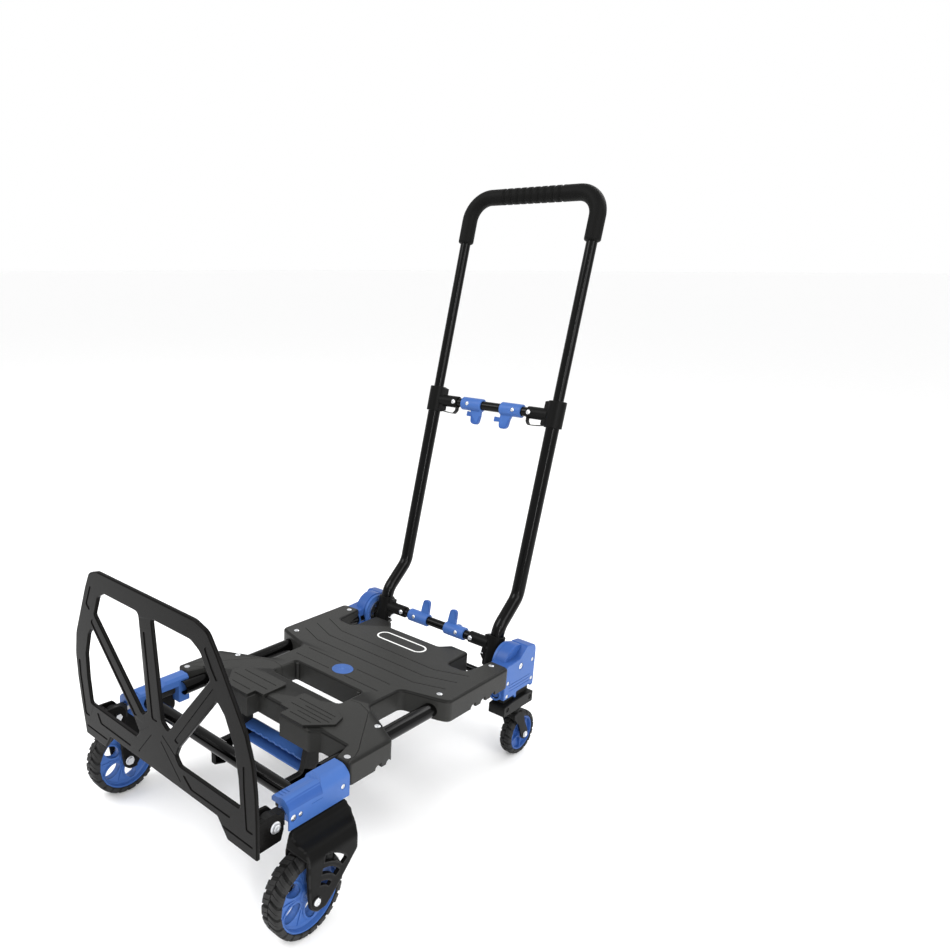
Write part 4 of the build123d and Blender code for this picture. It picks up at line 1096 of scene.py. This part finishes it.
# ------------------------------ release grip
c_section = [(-496, 152, 1), (-470, 158, 6), (-462, 152, 6), (-462, 128, 6), (-470, 122, 6),
             (-496, 122, 1), (-496, 126, 1), (-472, 127, 4), (-467, 132, 4), (-467, 149, 4),
             (-472, 153.4, 3), (-495, 148, 1)]
grip_bar = Part().prism(fillet(c_section, 5), ACROSS, -84, 84)
scallop = Part()
for n in range(7):
    scallop.disc(TOP, 7, 138, 170, 28, cu=-54 + 18 * n, cv=-500)
grip_bar.carve(scallop)
for x in (-60, -20, 20, 60):
    grip_bar.box(ACROSS, -470, -464, 126, 154, x - 1, x + 1)
piece("release_grip_moulding", grip_bar, "blue_plastic", "release", ["release_grip"], 0.7, 3)


# ------------------------------ stage
world = bpy.data.worlds.new("studio")
bpy.context.scene.world = world
world.use_nodes = True
world.node_tree.nodes["Background"].inputs["Color"].default_value = (1.0, 1.0, 1.0, 1)
world.node_tree.nodes["Background"].inputs["Strength"].default_value = 1.0

FAR = 120.0                                   # half the floor's side, in metres
floor_mesh = bpy.data.meshes.new("floor")
floor_mesh.from_pydata([(-FAR, -FAR, 0), (FAR, -FAR, 0), (FAR, FAR, 0), (-FAR, FAR, 0)], [],
                       [(0, 1, 2, 3)])
floor = bpy.data.objects.new("floor", floor_mesh)
bpy.context.collection.objects.link(floor)
floor.data.materials.append(material("floor_white", (0.97, 0.97, 0.97), 0.6, grain=60, bump=0.01,
                                     vary=0.01))


def area_light(name, loc, target, size, power):
    """White rectangular light that faces a target."""
    d = bpy.data.lights.new(name, "AREA")
    d.shape = "RECTANGLE"
    d.size, d.size_y = size
    d.energy = power
    o = bpy.data.objects.new(name, d)
    bpy.context.collection.objects.link(o)
    o.location = loc
    o.rotation_euler = (Vector(target) - Vector(loc)).to_track_quat("-Z", "Y").to_euler()


area_light("key", (-1.6, -2.4, 3.4), (0, 0, 0.3), (2.2, 2.2), 95)
area_light("fill", (3.0, -0.6, 2.2), (0, 0, 0.3), (1.6, 2.4), 55)
area_light("strip", (2.5, -1.9, 1.3), (0, 0.2, 0.6), (0.16, 1.7), 26)
area_light("rim", (0.4, 3.0, 2.8), (0, 0.1, 0.5), (2.4, 1.2), 45)

bpy.context.scene.view_settings.view_transform = "Standard"

# ------------------------------ camera
cam_data = bpy.data.cameras.new("camera")
cam = bpy.data.objects.new("camera", cam_data)
bpy.context.collection.objects.link(cam)
az, el = radians(47.1), radians(17.9)         # the camera stands to the right of the front
away = Vector((sin(az) * cos(el), -cos(az) * cos(el), sin(el)))
right = Vector((cos(az), sin(az), 0))
rot = Matrix((right, away.cross(right), away)).transposed().to_4x4()
cam.matrix_world = Matrix.Translation((1.0248, -1.4139 + PY, 1.0129)) @ rot
cam_data.sensor_width = 36.0
cam_data.lens = 31.47537
cam_data.shift_x = 0.199368
cam_data.shift_y = 0.060632
bpy.context.scene.camera = cam
